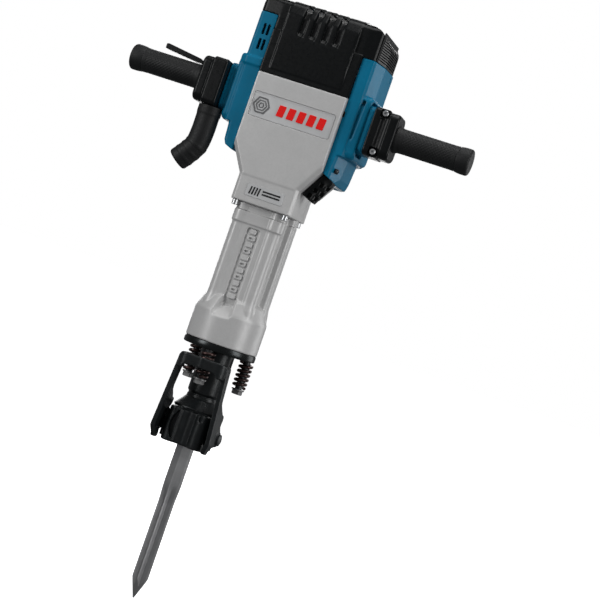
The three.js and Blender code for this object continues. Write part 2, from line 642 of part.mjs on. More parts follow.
// ---------------------------------------------------------------- shells, hood, rear cover, grilles
const FRONT_CORNER = {
  left: {
    outer: [[83.4, -47], [112, -47], [117, -41], [117.5, 0]],
    inner: [[80, -43.8], [110.6, -43.8], [113.8, -40], [114.3, 0]],
  },
  right: {
    outer: [[83.4, -47], [102.5, -47], [110, -40], [116.5, 0]],
    inner: [[80, -43.8], [101.2, -43.8], [107, -38.4], [113.3, 0]],
  },
};
const BACK_OUTER = [[117.5, 70], [97, 117], [40.4, 118.5]];
const BACK_INNER = [[114.3, 69], [95, 113.8], [40, 115.3]];
const HOOD_OUTLINE = [[80, -49], [102, -47], [109, -40], [116, 0], [116, 69], [96, 115], [0, 117],
  [-96, 115], [-116, 69], [-117, 0], [-117, -41], [-111, -46], [-80, -49]];

function shellRing(side, outline, z0, z1, insetX) {
  const closing = [[40.4, 97], [83.4, 97]];
  const points = [...outline, ...closing].map(
    ([x, y]) => [side * Math.max(x - (x > 84 ? insetX : 0), 40), y]);
  return alongZ(shapeOf(points), z0, z1);
}

function makeShell(name, side) {
  const corner = side < 0 ? 'left' : 'right';
  const top = SHELL_TOP[corner];
  const outline = [...FRONT_CORNER[corner].outer, ...BACK_OUTER];
  const outlineIn = [...FRONT_CORNER[corner].inner, ...BACK_INNER];
  const upper = shellRing(side, outline, SHELL_STEP, top, 0);
  const lower = shellRing(side, outline, SHELL_BOTTOM, SHELL_STEP + 1, 9);
  const pad = alongX(roundedRect(9, 894, 108, 112, 12), 110, 125, 3);
  const placedPad = side > 0 ? pad : pad.mirror([1, 0, 0]);
  const closingIn = [[36, 90], [80, 90]];
  const inner = (z0, z1, inset) => alongZ(shapeOf([...outlineIn, ...closingIn].map(
    ([x, y]) => [side * (x - (x > 84 ? inset : 0)), y])), z0, z1);
  const hollow = join(inner(SHELL_STEP + SHELL_WALL, top + 5, 0),
    inner(SHELL_FLOOR, SHELL_STEP + 5, 9));
  const bossHole = box(side > 0 ? 102.5 : -130, side > 0 ? 130 : -102.5, -43.4, 7.4, 846, 944);
  const slots = [];
  if (side < 0) {
    for (const [x, z] of [[-100.6, 1007.3], [-92.7, 1007.3], [-100.6, 980], [-92.7, 980]]) {
      slots.push(box(x - 2.5, x + 2.5, -60, -40, z - 10, z + 10));
    }
  }
  const shoulder = side < 0
    ? alongY(shapeOf([[-84, 770], [-130, 770], [-130, 812], [-107, 802], [-101, 794], [-84, SHELL_BOTTOM]]),
      -60, 130)
    : alongY(shapeOf([[60, 770], [120, 770], [104, SHELL_BOTTOM + 0.5], [83, SHELL_BOTTOM + 11],
      [60, SHELL_BOTTOM + 11]]), -60, -20);
  const body = cut(join(upper, lower, placedPad), hollow, bossHole, shoulder, ...slots);
  add(name, 'blue', body);
}

function makeHood() {
  const full = shapeOf(HOOD_OUTLINE);
  const frontView = roundedRect(0, HOOD_TOP - 100, 2 * 117, 200, 34);
  const sideView = roundedRect(34, HOOD_TOP - 100, 166, 200, 22);
  const capSolid = alongZ(full, SHELL_TOP.right + GAP, HOOD_TOP).intersect(
    alongY(frontView, -60, 130)).intersect(alongX(sideView, -120, 120));
  const leftCut = box(-130, -83, -70, 130, 900, SHELL_TOP.left + GAP);
  const rearCut = box(-84, -40, 80, 130, 900, SHELL_TOP.left + GAP);
  const lowerHeight = 1010 - PANEL_TOP - GAP;
  const band = alongY(roundedRect(0, 1010 - lowerHeight / 2, 2 * 82.8, lowerHeight, 2), -53, -44);
  const ribs = [];
  for (const [x0, x1] of [[-66, -37.5], [-26.5, -16], [-5.5, 5.5], [16, 26.5], [37.5, 66]]) {
    ribs.push(alongX(shapeOf([[-56.5, 1010], [-56, 1054], [-42, HOOD_TOP], [40, HOOD_TOP + 2],
      [60, HOOD_TOP - 2], [60, HOOD_TOP - 8], [-34, HOOD_TOP - 8], [-48, 1010]]), x0, x1));
  }
  const inner = shapeOf([[-104, -42], [98, -42], [104, -36], [110, 2], [110, 66], [92, 110], [-92, 110],
    [-110, 66], [-110, -36]]);
  const hollow = alongZ(inner, 930, HOOD_TOP - 6);
  const louvres = [];
  for (let i = 0; i < 8; i += 1) {
    const z = 1016 + 5 * i;
    louvres.push(box(98, 125, -30, 62, z, z + 2.2));
  }
  const body = cut(join(capSolid, band, ...ribs), hollow, leftCut, rearCut, ...louvres);
  add('motor_hood', 'black', body);
}

function makeRearCover() {
  const wall = box(-39.8, 39.8, 114, 118.5, 765, SHELL_TOP.right);
  const floor = box(-39.8, 39.8, HOUSING_BACK_Y + 1, 116, 765, 769);
  const slots = [];
  for (let i = 0; i < 7; i += 1) {
    slots.push(box(-26, 26, 110, 122, 955 + 8 * i, 958.5 + 8 * i));
  }
  const grooves = [-20, 0, 20].map((x) => box(x - 2, x + 2, 117, 122, 790, 930));
  add('rear_cover', 'black', cut(join(wall, floor), ...slots, ...grooves));
}

function makeGrille() {
  const outline = shapeOf([[59, 757], [82, 747], [106, SHELL_BOTTOM - 0.5], [78, SHELL_BOTTOM - 0.5]]);
  const block = alongY(outline, -36, GRILLE_BACK_Y, 1.5);
  const holes = [];
  for (let row = 0; row < 3; row += 1) {
    for (let col = 0; col < 2; col += 1) {
      const x = 72.5 + col * 11 + row * 6.5;
      const z = 759 + row * 11.5;
      holes.push(box(x - 3.6, x + 3.6, -40, -24, z - 3.6, z + 3.6));
    }
  }
  add('air_grille', 'black', cut(block, ...holes));
}

// ---------------------------------------------------------------- handles
function makeYoke() {
  const half = [[90, -36], [103, -36], [103, 86], [92, 110.5]];
  const halfIn = [[84, HOUSING_BACK_Y + 3], [90, 84]];
  const mirrored = (points) => points.map(([x, y]) => [-x, y]).reverse();
  const outline = [...half, ...mirrored(half), ...mirrored(halfIn), ...halfIn];
  add('handle_yoke', 'forged', alongZ(shapeOf(outline), 880, 916));
}

function makeHandle(name, side) {
  const place = (body) => (side > 0 ? body : body.mirror([1, 0, 0]));
  const boss = alongX(roundedRect(-18, 895, 47, 86, 12), 103.3, BLOCK_X[0] - GAP, 1.5);
  add(`handle_boss_${name}`, 'blue', place(boss));
  const [b0, b1] = BLOCK_X;
  const main = alongX(roundedRect(GRIP_Y, BLOCK_BOTTOM + 42.5, 62, 85, 9), b0, b0 + 27, 2);
  const flange = alongX(roundedRect(GRIP_Y, 895, 56, 76, 20), b0 + 24, b1, 4);
  const whole = join(main, flange);
  const screwPockets = [-1, 1].map((s) => {
    const z = 895 + s * CLAMP_SPACING;
    return box(b0 + 12, b0 + 26, -70, -52, z - 8, z + 8);
  });
  add(`grip_block_${name}`, 'black', place(side > 0 ? cut(whole, ...screwPockets) : whole));
  const tube = turnedX([[0, b1 + GAP], [GRIP_R + 2, b1 + GAP], [GRIP_R, b1 + 8], [GRIP_R, GRIP_END - 26],
    [GRIP_R + 1.6, GRIP_END - 10], [GRIP_R + 1, GRIP_END - 4], [GRIP_R - 4, GRIP_END], [0, GRIP_END]],
  GRIP_Y, GRIP_Z, 24);
  add(`grip_${name}`, 'rubber', place(tube));
  if (side > 0) {
    for (const [where, s] of [['upper', 1], ['lower', -1]]) {
      const z = 895 + s * CLAMP_SPACING;
      const x = b0 + 19;
      const head = new THREE.CylinderGeometry(5.2, 5.2, 6, 16).translate(x, 0, z).translate(0, -57, 0);
      const socket = new THREE.CylinderGeometry(2.4, 2.4, 6, 6).translate(x, -60, z);
      add(`clamp_screw_${where}`, 'steel', cut(solid(head), solid(socket)));
    }
  }
}

function makeSwitchLever() {
  const outline = shapeOf([[-189, 918.4], [-189, 924], [-194, 925.5], [-258, 936.5], [-263, 935],
    [-263, 927], [-257, 926], [-205, 918.6]]);
  add('switch_lever', 'black', alongY(outline, GRIP_Y - 8, GRIP_Y + 8, 1.5));
}

function makeCableBoot() {
  const path = new THREE.CatmullRomCurve3([
    new THREE.Vector3(-149, -34, BLOCK_BOTTOM - GAP),
    new THREE.Vector3(-149, -34, 832),
    new THREE.Vector3(-149, -34, 806),
    new THREE.Vector3(-152, -34, 782),
    new THREE.Vector3(-163, -34, 763),
    new THREE.Vector3(-177, -34, 745),
  ], false, 'centripetal');
  const boreStart = path.getPointAt(0.45);
  const bore = new THREE.CatmullRomCurve3([
    boreStart,
    path.getPointAt(0.6),
    path.getPointAt(0.8),
    path.getPointAt(0.95),
    path.getPointAt(1),
    new THREE.Vector3(-183, -34, 737.3),
  ], false, 'centripetal');
  const sleeve = swept(path, 20.5, 10, 7);
  const top = alongZ(circle(-149, -34, 23.5), 836, BLOCK_BOTTOM - GAP, 1.5, 7);
  const ring = (t) => {
    const c = path.getPointAt(t);
    const d = path.getTangentAt(t);
    const g = new THREE.CylinderGeometry(21.8, 21.8, 4, 14);
    const turn = new THREE.Quaternion().setFromUnitVectors(new THREE.Vector3(0, 1, 0), d);
    return solid(g.applyQuaternion(turn).translate(c.x, c.y, c.z));
  };
  const body = join(sleeve, top, ring(0.66), ring(0.82));
  add('cable_boot', 'rubber', cut(body, swept(bore, 6.5, 7, 4)));
}

function makeHandleSprings() {
  for (const [name, side] of [['left', -1], ['right', 1]]) {
    add(`handle_spring_${name}`, 'springs', coilSpring(side * 92, 44, SHELL_FLOOR + GAP, 879.7, 6.4, 1.5, 6));
  }
}

makeChisel();
makeToolHolder();
makeBail();
makeHolderFlange();
makeHammerTube();
makeHammerMechanism();
makeDrive();
makeBearingPlates();
makeGearHousing();
makeShell('side_shell_left', -1);
makeShell('side_shell_right', 1);
makeHood();
makeRearCover();
makeGrille();
makeYoke();
makeHandle('left', -1);
makeHandle('right', 1);
makeSwitchLever();
makeCableBoot();
makeHandleSprings();

export default group;
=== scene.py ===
"""Electric jackhammer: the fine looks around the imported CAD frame.

Sizes are written in millimetres and turned into metres as each mesh is made. The frame has its
origin at the chisel tip, +Z up the hammer axis, -Y at the front and +X at the clamp screws.
"""

import json
import math

import bmesh
import bpy
from mathutils import Matrix, Vector

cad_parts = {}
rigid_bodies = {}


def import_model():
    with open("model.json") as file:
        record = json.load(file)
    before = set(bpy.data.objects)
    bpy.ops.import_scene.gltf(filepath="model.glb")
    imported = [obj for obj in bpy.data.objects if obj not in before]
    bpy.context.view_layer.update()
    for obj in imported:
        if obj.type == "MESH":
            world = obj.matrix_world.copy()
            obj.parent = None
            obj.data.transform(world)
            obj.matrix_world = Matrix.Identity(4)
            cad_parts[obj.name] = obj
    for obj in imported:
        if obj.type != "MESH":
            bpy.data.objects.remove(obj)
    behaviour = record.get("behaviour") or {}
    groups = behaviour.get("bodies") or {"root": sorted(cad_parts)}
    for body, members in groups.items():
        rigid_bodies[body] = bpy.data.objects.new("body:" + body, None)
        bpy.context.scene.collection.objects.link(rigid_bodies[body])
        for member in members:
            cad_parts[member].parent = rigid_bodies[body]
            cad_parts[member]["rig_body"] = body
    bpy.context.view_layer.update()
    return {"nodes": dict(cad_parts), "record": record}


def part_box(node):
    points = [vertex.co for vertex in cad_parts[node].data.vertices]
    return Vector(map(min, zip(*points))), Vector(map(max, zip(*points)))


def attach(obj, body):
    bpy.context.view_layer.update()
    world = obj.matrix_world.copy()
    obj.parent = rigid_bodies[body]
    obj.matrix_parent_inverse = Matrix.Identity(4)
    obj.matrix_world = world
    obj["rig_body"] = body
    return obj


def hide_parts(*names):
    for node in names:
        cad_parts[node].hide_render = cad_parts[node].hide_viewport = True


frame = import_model()

MM = 0.001
RIGHT, LEFT = 1, -1
SIDES = {"left": LEFT, "right": RIGHT}


def span(node):
    """Lowest and highest corner of a CAD node, in millimetres."""
    low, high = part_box(node)
    return low / MM, high / MM


def add_object(name, data):
    obj = bpy.data.objects.new(name, data)
    bpy.context.scene.collection.objects.link(obj)
    return obj


# ---- mesh helpers
def mesh_object(points, faces, name="body"):
    """A closed mesh from points in millimetres, with its faces turned outwards."""
    mesh = bpy.data.meshes.new(name)
    mesh.from_pydata([tuple(c * MM for c in p) for p in points], [], faces)
    work = bmesh.new()
    work.from_mesh(mesh)
    bmesh.ops.recalc_face_normals(work, faces=work.faces)
    work.to_mesh(mesh)
    work.free()
    return add_object(name, mesh)


def rounded(corners, radii, steps=6):
    """An outline whose corners are arcs. radii is one radius, or one for each corner."""
    outline = []
    for i, corner in enumerate(corners):
        radius = radii[i] if isinstance(radii, (list, tuple)) else radii
        point = Vector(corner)
        if radius <= 0:
            outline.append(tuple(point))
            continue
        back = Vector(corners[i - 1]) - point
        ahead = Vector(corners[(i + 1) % len(corners)]) - point
        half = back.angle(ahead) / 2
        reach = min(radius / math.tan(half), 0.49 * back.length, 0.49 * ahead.length)
        radius = reach * math.tan(half)
        middle = (back.normalized() + ahead.normalized()).normalized()
        centre = point + middle * (radius / math.sin(half))
        start = point + back.normalized() * reach - centre
        end = point + ahead.normalized() * reach - centre
        first = math.atan2(start.y, start.x)
        turn = (math.atan2(end.y, end.x) - first + math.pi) % (2 * math.pi) - math.pi
        for k in range(steps + 1):
            angle = first + turn * k / steps
            outline.append((centre.x + radius * math.cos(angle), centre.y + radius * math.sin(angle)))
    return outline


def rectangle(x0, x1, y0, y1):
    return [(x0, y0), (x1, y0), (x1, y1), (x0, y1)]


def circle(x, y, radius, steps=32):
    turns = [2 * math.pi * k / steps for k in range(steps)]
    return [(x + radius * math.cos(a), y + radius * math.sin(a)) for a in turns]


def hexagon(x, y, across_flats, start=0.0):
    radius = across_flats / math.sqrt(3)
    turns = [start + math.pi * k / 3 for k in range(6)]
    return [(x + radius * math.cos(a), y + radius * math.sin(a)) for a in turns]


def mirrored(outline):
    return [(-x, y) for x, y in reversed(outline)]


def on_side(side, near, far):
    """The lower and the higher X of a stretch on one side of the machine."""
    return sorted((side * near, side * far))


def sided(side, outline):
    """The outline as drawn for the right side, or mirrored in X for the left."""
    return outline if side > 0 else mirrored(outline)


def inset(outline, distances):
    """The outline with each edge moved inwards. distances is one distance, or one for each edge."""
    if not isinstance(distances, (list, tuple)):
        distances = [distances] * len(outline)
    area = sum(a[0] * b[1] - b[0] * a[1] for a, b in zip(outline, outline[1:] + outline[:1]))
    turn = 1 if area > 0 else -1
    lines = []
    for i, corner in enumerate(outline):
        a = Vector(corner)
        along = (Vector(outline[(i + 1) % len(outline)]) - a).normalized()
        inwards = Vector((-along.y, along.x)) * turn
        lines.append((a + inwards * distances[i], along))
    result = []
    for i, (start, along) in enumerate(lines):
        last_start, last_along = lines[i - 1]
        cross = last_along.x * along.y - last_along.y * along.x
        if abs(cross) < 1e-6:
            result.append(tuple(start))
            continue
        gap = start - last_start
        t = (gap.x * along.y - gap.y * along.x) / cross
        result.append(tuple(last_start + last_along * t))
    return result


def loft(sections):
    """A closed body through outlines with the same number of 3-D points."""
    count = len(sections[0])
    points = [p for section in sections for p in section]
    last = count * (len(sections) - 1)
    faces = [list(range(count)), list(range(last, last + count))]
    for s in range(len(sections) - 1):
        for k in range(count):
            a = s * count + k
            b = s * count + (k + 1) % count
            faces.append([a, b, b + count, a + count])
    return mesh_object(points, faces)


PLACE = {
    "x": lambda u, v, w: (w, u, v),
    "y": lambda u, v, w: (u, w, v),
    "z": lambda u, v, w: (u, v, w),
}


def layers(axis, levels):
    """A body through (outline, height) pairs along an axis."""
    return loft([[PLACE[axis](u, v, w) for u, v in outline] for outline, w in levels])


def prism(axis, outline, low, high):
    return layers(axis, [(outline, low), (outline, high)])


def block(x0, x1, y0, y1, z0, z1):
    return prism("z", rectangle(x0, x1, y0, y1), z0, z1)


def lathe(profile, centre=(0, 0), axis="z", steps=64):
    """A profile of (radius, height) pairs, from axis to axis, turned about an axis."""
    points, faces, rings = [], [], []
    for radius, height in profile:
        if radius < 1e-6:
            rings.append([len(points)])
            points.append(PLACE[axis](centre[0], centre[1], height))
            continue
        rings.append(list(range(len(points), len(points) + steps)))
        for u, v in circle(centre[0], centre[1], radius, steps):
            points.append(PLACE[axis](u, v, height))
    for low, high in zip(rings, rings[1:]):
        for k in range(steps):
            n = (k + 1) % steps
            corners = [low[k % len(low)], low[n % len(low)], high[n % len(high)], high[k % len(high)]]
            faces.append(list(dict.fromkeys(corners)))
    return mesh_object(points, faces)


def ring_lathe(profile, centre=(0, 0)):
    """A closed (radius, height) profile turned about an upright axis that it doesn't touch."""
    steps = 96
    count = len(profile)
    points, faces = [], []
    for k in range(steps):
        angle = 2 * math.pi * k / steps
        for radius, height in profile:
            u = centre[0] + radius * math.cos(angle)
            v = centre[1] + radius * math.sin(angle)
            points.append((u, v, height))
    for k in range(steps):
        for i in range(count):
            a, b = k * count + i, k * count + (i + 1) % count
            c, d = ((k + 1) % steps) * count + (i + 1) % count, ((k + 1) % steps) * count + i
            faces.append([a, b, c, d])
    return mesh_object(points, faces)


def rod(axis, radius, low, high, u=0.0, v=0.0, steps=48):
    return prism(axis, circle(u, v, radius, steps), low, high)


def tube(path, radii, sides):
    """A round body along a path, with one radius for each point of the path."""
    path = [Vector(p) for p in path]
    sections = []
    side = None
    for i, point in enumerate(path):
        ahead = (path[min(i + 1, len(path) - 1)] - path[max(i - 1, 0)]).normalized()
        if side is None:
            side = ahead.orthogonal().normalized()
        side = (side - ahead * side.dot(ahead)).normalized()
        other = ahead.cross(side)
        ring = []
        for k in range(sides):
            angle = 2 * math.pi * k / sides
            ring.append(tuple(point + (side * math.cos(angle) + other * math.sin(angle)) * radii[i]))
        sections.append(ring)
    return loft(sections)


def apply_modifiers(obj):
    depsgraph = bpy.context.evaluated_depsgraph_get()
    made = bpy.data.meshes.new_from_object(obj.evaluated_get(depsgraph))
    before = obj.data
    obj.modifiers.clear()
    obj.data = made
    bpy.data.meshes.remove(before)
    return obj


def discard(obj):
    data = obj.data
    bpy.data.objects.remove(obj)
    bpy.data.meshes.remove(data)


def combine(obj, operation, others):
    """Unites with, cuts away or keeps what is shared with the other bodies, which are used up."""
    for other in others:
        step = obj.modifiers.new("combine", "BOOLEAN")
        step.operation = operation
        step.solver = "MANIFOLD"
        step.object = other
    apply_modifiers(obj)
    for other in others:
        discard(other)
    return obj


def unite(obj, *others):
    return combine(obj, "UNION", others)


def cut(obj, *others):
    return combine(obj, "DIFFERENCE", others)


def keep_shared(obj, *others):
    return combine(obj, "INTERSECT", others)


def moulded(obj, voxel, passes):
    """Rebuilds the surface in an even fine grid and rounds every edge, as a casting or moulding is."""
    grid = obj.modifiers.new("grid", "REMESH")
    grid.mode = "VOXEL"
    grid.voxel_size = voxel * MM
    soft = obj.modifiers.new("soft", "SMOOTH")
    soft.factor = 0.5
    soft.iterations = passes
    return apply_modifiers(obj)


def bevelled(obj, width, segments=3, angle=30):
    edge = obj.modifiers.new("edge", "BEVEL")
    edge.width = width * MM
    edge.segments = segments
    edge.limit_method = "ANGLE"
    edge.angle_limit = math.radians(angle)
    return apply_modifiers(obj)


def smooth(obj, angle=32):
    obj.data.shade_smooth()
    obj.data.set_sharp_from_angle(angle=math.radians(angle))
    return obj


def joined(objects):
    """Several separate bodies as one object."""
    work = bmesh.new()
    for obj in objects:
        work.from_mesh(obj.data)
        discard(obj)
    mesh = bpy.data.meshes.new("joined")
    work.to_mesh(mesh)
    work.free()
    return add_object("joined", mesh)


# ---- material helpers
class Look:
    """One node material and the few kinds of node that it is made of."""

    def __init__(self, name):
        self.material = bpy.data.materials.new(name)
        self.material.use_nodes = True
        self.tree = self.material.node_tree
        self.shader = self.tree.nodes["Principled BSDF"]
        self.place = self.tree.nodes.new("ShaderNodeTexCoord").outputs["Object"]

    def set(self, socket, value):
        if isinstance(value, bpy.types.NodeSocket):
            self.tree.links.new(value, self.shader.inputs[socket])
        else:
            self.shader.inputs[socket].default_value = value

    def stretched(self, scale):
        node = self.tree.nodes.new("ShaderNodeMapping")
        node.inputs["Scale"].default_value = scale
        self.tree.links.new(self.place, node.inputs["Vector"])
        return node.outputs["Vector"]

    def noise(self, scale, detail=3.0, roughness=0.55, stretch=None):
        node = self.tree.nodes.new("ShaderNodeTexNoise")
        node.inputs["Scale"].default_value = scale
        node.inputs["Detail"].default_value = detail
        node.inputs["Roughness"].default_value = roughness
        self.tree.links.new(self.stretched(stretch) if stretch else self.place, node.inputs["Vector"])
        return node.outputs["Fac"]

    def cells(self, scale):
        node = self.tree.nodes.new("ShaderNodeTexVoronoi")
        node.inputs["Scale"].default_value = scale
        self.tree.links.new(self.place, node.inputs["Vector"])
        return node.outputs["Distance"]

    def edges(self):
        """Bright on outer edges and dark in corners."""
        return self.tree.nodes.new("ShaderNodeNewGeometry").outputs["Pointiness"]

    def ramp(self, factor, *stops):
        """Colours or grey levels at places along a factor."""
        node = self.tree.nodes.new("ShaderNodeValToRGB")
        bar = node.color_ramp
        while len(bar.elements) < len(stops):
            bar.elements.new(1.0)
        for element, (place, colour) in zip(bar.elements, stops):
            element.position = place
            element.color = (colour, colour, colour, 1) if isinstance(colour, (int, float)) else (*colour, 1)
        self.tree.links.new(factor, node.inputs["Fac"])
        return node.outputs["Color"]

    def varied(self, factor, low, high):
        """Two colours or grey levels, with the middle of a factor between them."""
        return self.ramp(factor, (0.3, low), (0.7, high))

    def tinted(self, factor, colour, dark, light):
        """A colour, a little darker and lighter from place to place."""
        return self.varied(factor, shade(colour, dark), shade(colour, light))

    def mix(self, factor, a, b):
        """Mixes two linked colours by a linked factor."""
        node = self.tree.nodes.new("ShaderNodeMix")
        node.data_type = "RGBA"
        sockets = {socket.identifier: socket for socket in node.inputs}
        for key, value in (("Factor_Float", factor), ("A_Color", a), ("B_Color", b)):
            self.tree.links.new(value, sockets[key])
        return next(socket for socket in node.outputs if socket.identifier == "Result_Color")

    def bump(self, *heights):
        """Heights as (factor, strength, depth in mm), one on another."""
        normal = None
        for factor, strength, depth in heights:
            node = self.tree.nodes.new("ShaderNodeBump")
            node.inputs["Strength"].default_value = strength
            node.inputs["Distance"].default_value = depth * MM
            self.tree.links.new(factor, node.inputs["Height"])
            if normal is not None:
                self.tree.links.new(normal, node.inputs["Normal"])
            normal = node.outputs["Normal"]
        self.tree.links.new(normal, self.shader.inputs["Normal"])


def shade(colour, factor):
    return tuple(c * factor for c in colour)


# ---- materials
def painted_casting(name, colour):
    look = Look(name)
    grain = look.noise(900, 4)
    base = look.tinted(look.noise(16, 3), colour, 0.97, 1.03)
    worn = look.ramp(look.edges(), (0.50, shade(colour, 0.9)), (0.56, shade(colour, 1.35)))
    speck = look.ramp(look.noise(260, 2), (0.35, 0.0), (0.75, 0.5))
    look.set("Base Color", look.mix(speck, base, worn))
    look.set("Roughness", look.varied(look.noise(120, 4), 0.30, 0.44))
    look.set("Metallic", 0.12)
    look.bump((grain, 0.14, 0.2), (look.noise(150, 3), 0.05, 0.6))
    return look.material


def moulded_plastic(name, colour, roughness, grain_depth, shine):
    look = Look(name)
    grain = look.noise(1500, 3)
    base = look.tinted(look.noise(22, 3), colour, 0.92, 1.08)
    scuffed = look.ramp(look.edges(), (0.5, shade(colour, 0.9)), (0.58, shade(colour, 1.5)))
    scuffs = look.ramp(look.noise(60, 6, 0.7, (1.0, 1.0, 0.25)), (0.56, 0.0), (0.72, 0.45))
    look.set("Base Color", look.mix(scuffs, base, scuffed))
    low, high = roughness
    look.set("Roughness", look.varied(look.noise(200, 5, 0.65), low, high))
    look.set("Specular IOR Level", shine)
    look.bump((grain, 0.3, grain_depth), (look.noise(90, 2), 0.06, 0.6))
    return look.material


def blue_shell():
    return moulded_plastic("blue_moulding", (0.002, 0.168, 0.305), (0.28, 0.40), 0.10, 0.16)


def black_plastic():
    return moulded_plastic("black_moulding", (0.0044, 0.0052, 0.0056), (0.25, 0.36), 0.08, 0.22)


def grey_casting():
    return painted_casting("grey_paint_on_casting", (0.60, 0.598, 0.594))


def grip_rubber():
    look = Look("black_rubber")
    base = look.ramp(look.noise(35, 4), (0.3, (0.005, 0.0056, 0.006)), (0.75, (0.010, 0.0106, 0.011)))
    # The colour is lighter on outer edges and knurl tips, in patches.
    lighter_on_edges = look.ramp(look.edges(), (0.49, (0.005, 0.0056, 0.006)), (0.57, (0.026, 0.027, 0.028)))
    look.set("Base Color", look.mix(look.ramp(look.noise(180, 3), (0.4, 0.1), (0.7, 0.6)), base, lighter_on_edges))
    look.set("Roughness", look.varied(look.noise(300, 4), 0.48, 0.66))
    look.set("Specular IOR Level", 0.34)
    look.bump((look.noise(2200, 2), 0.35, 0.12), (look.noise(240, 3), 0.1, 0.3))
    return look.material


def black_forging():
    look = Look("black_oxide_forging")
    base = look.varied(look.noise(28, 5), (0.009, 0.0115, 0.0125), (0.019, 0.0225, 0.024))
    worn = look.ramp(look.edges(), (0.50, (0.007, 0.008, 0.0085)), (0.58, (0.065, 0.068, 0.071)))
    look.set("Base Color", look.mix(look.ramp(look.noise(90, 5), (0.42, 0.05), (0.7, 0.8)), base, worn))
    look.set("Roughness", look.ramp(look.noise(70, 5), (0.3, 0.27), (0.72, 0.42)))
    look.set("Metallic", 0.35)
    look.bump((look.noise(420, 4), 0.35, 0.35), (look.noise(70, 3), 0.25, 0.9))
    return look.material


def spring_steel():
    look = Look("oiled_spring_steel")
    base = look.ramp(look.noise(60, 4), (0.3, (0.030, 0.021, 0.020)), (0.6, (0.085, 0.052, 0.048)),
                     (0.8, (0.22, 0.17, 0.165)))
    look.set("Base Color", base)
    look.set("Metallic", 0.85)
    look.set("Roughness", look.varied(look.noise(220, 4), 0.24, 0.42))
    look.bump((look.noise(600, 3), 0.2, 0.15))
    return look.material


def turned_metal(name, colour, roughness, stretch):
    look = Look(name)
    lines = look.noise(400, 3, 0.6, stretch)
    base = look.tinted(look.noise(50, 4), colour, 0.85, 1.1)
    # The colour is darker in creases and hollows and full on outer edges, mixed in along the turning lines.
    darker_in_hollows = look.ramp(look.edges(), (0.47, shade(colour, 0.45)), (0.52, shade(colour, 1.0)))
    look.set("Base Color", look.mix(look.varied(lines, 0.1, 0.55), base, darker_in_hollows))
    look.set("Metallic", 0.95)
    low, high = roughness
    look.set("Roughness", look.varied(lines, low, high))
    look.bump((lines, 0.08, 0.06), (look.noise(1200, 2), 0.05, 0.04))
    return look.material


def bright_steel():
    return turned_metal("bright_machined_steel", (0.60, 0.61, 0.62), (0.28, 0.38), (1, 1, 3))


def tool_steel():
    return turned_metal("ground_tool_steel", (0.50, 0.50, 0.505), (0.30, 0.46), (1.6, 1.6, 0.06))


def turned_black():
    return turned_metal("blackened_turned_steel", (0.040, 0.043, 0.044), (0.20, 0.30), (1, 1, 3))


def bolt_zinc():
    return turned_metal("dull_zinc", (0.30, 0.30, 0.30), (0.42, 0.55), (1, 1, 1))


def copper():
    return turned_metal("turned_copper", (0.62, 0.27, 0.13), (0.25, 0.4), (4, 1, 1))


def brass():
    return turned_metal("stamped_brass", (0.58, 0.41, 0.16), (0.28, 0.42), (1, 1, 1))


def lamination():
    return turned_metal("stacked_steel", (0.24, 0.245, 0.25), (0.4, 0.6), (9, 0.3, 0.3))


def circuit_board():
    look = Look("potted_board")
    look.set("Base Color", look.ramp(look.noise(140, 4), (0.35, (0.008, 0.05, 0.022)),
                                     (0.65, (0.02, 0.11, 0.05))))
    look.set("Roughness", look.varied(look.noise(90, 3), 0.3, 0.55))
    look.bump((look.cells(260), 0.3, 0.5))
    return look.material


def label_plate():
    look = Look("silver_label")
    colour = (0.60, 0.605, 0.61)
    look.set("Base Color", look.tinted(look.noise(40, 4), colour, 0.94, 1.06))
    look.set("Roughness", look.varied(look.noise(500, 3), 0.34, 0.46))
    look.set("Metallic", 0.2)
    look.bump((look.noise(1800, 2), 0.12, 0.08))
    return look.material


def print_ink(name, colour):
    look = Look(name)
    look.set("Base Color", look.tinted(look.noise(700, 3), colour, 0.88, 1.08))
    look.set("Roughness", look.varied(look.noise(400, 3), 0.36, 0.5))
    look.set("Specular IOR Level", 0.2)
    look.bump((look.noise(1500, 2), 0.15, 0.06))
    return look.material


LOOKS = {
    "grey_casting": grey_casting(),
    "blue_shell": blue_shell(),
    "black_plastic": black_plastic(),
    "grip_rubber": grip_rubber(),
    "black_forging": black_forging(),
    "spring_steel": spring_steel(),
    "bright_steel": bright_steel(),
    "tool_steel": tool_steel(),
    "lamination": lamination(),
    "copper": copper(),
    "brass": brass(),
    "circuit_board": circuit_board(),
    "label_plate": label_plate(),
}
RED_INK = print_ink("red_ink", (0.95, 0.009, 0.007))
DARK_INK = print_ink("dark_ink", (0.02, 0.021, 0.022))
GREY_INK = print_ink("grey_ink", (0.16, 0.162, 0.165))
TURNED_BLACK = turned_black()
BOLT_ZINC = bolt_zinc()
SLOT_OF = {row["node"]: row["material_slot"] for row in frame["record"]["subparts"]}
BODY_OF = {node: obj["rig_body"] for node, obj in frame["nodes"].items()}


def finish_piece(obj, node, look=None, trim=None, angle=32):
    """Smooths and names a piece, and gives it its material and the body of its CAD node.

    A piece with a trim name is added to the node. One without it takes the node's place.
    """
    slot = SLOT_OF[node]
    smooth(obj, angle)
    obj.name = trim or f"{node}_shape"
    obj.data.materials.clear()
    obj.data.materials.append(look or LOOKS[slot])
    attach(obj, BODY_OF[node])
    if not trim:
        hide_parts(node)


def dress_cad_nodes():
    for node, obj in frame["nodes"].items():
        obj.data.materials.clear()
        obj.data.materials.append(LOOKS[SLOT_OF[node]])


# ---- chisel
PIVOT = (-19.0, 310.0)
PIN_BORE = 8.3


def ease(low, high, value):
    t = min(max((value - low) / (high - low), 0.0), 1.0)
    return t * t * (3 - 2 * t)


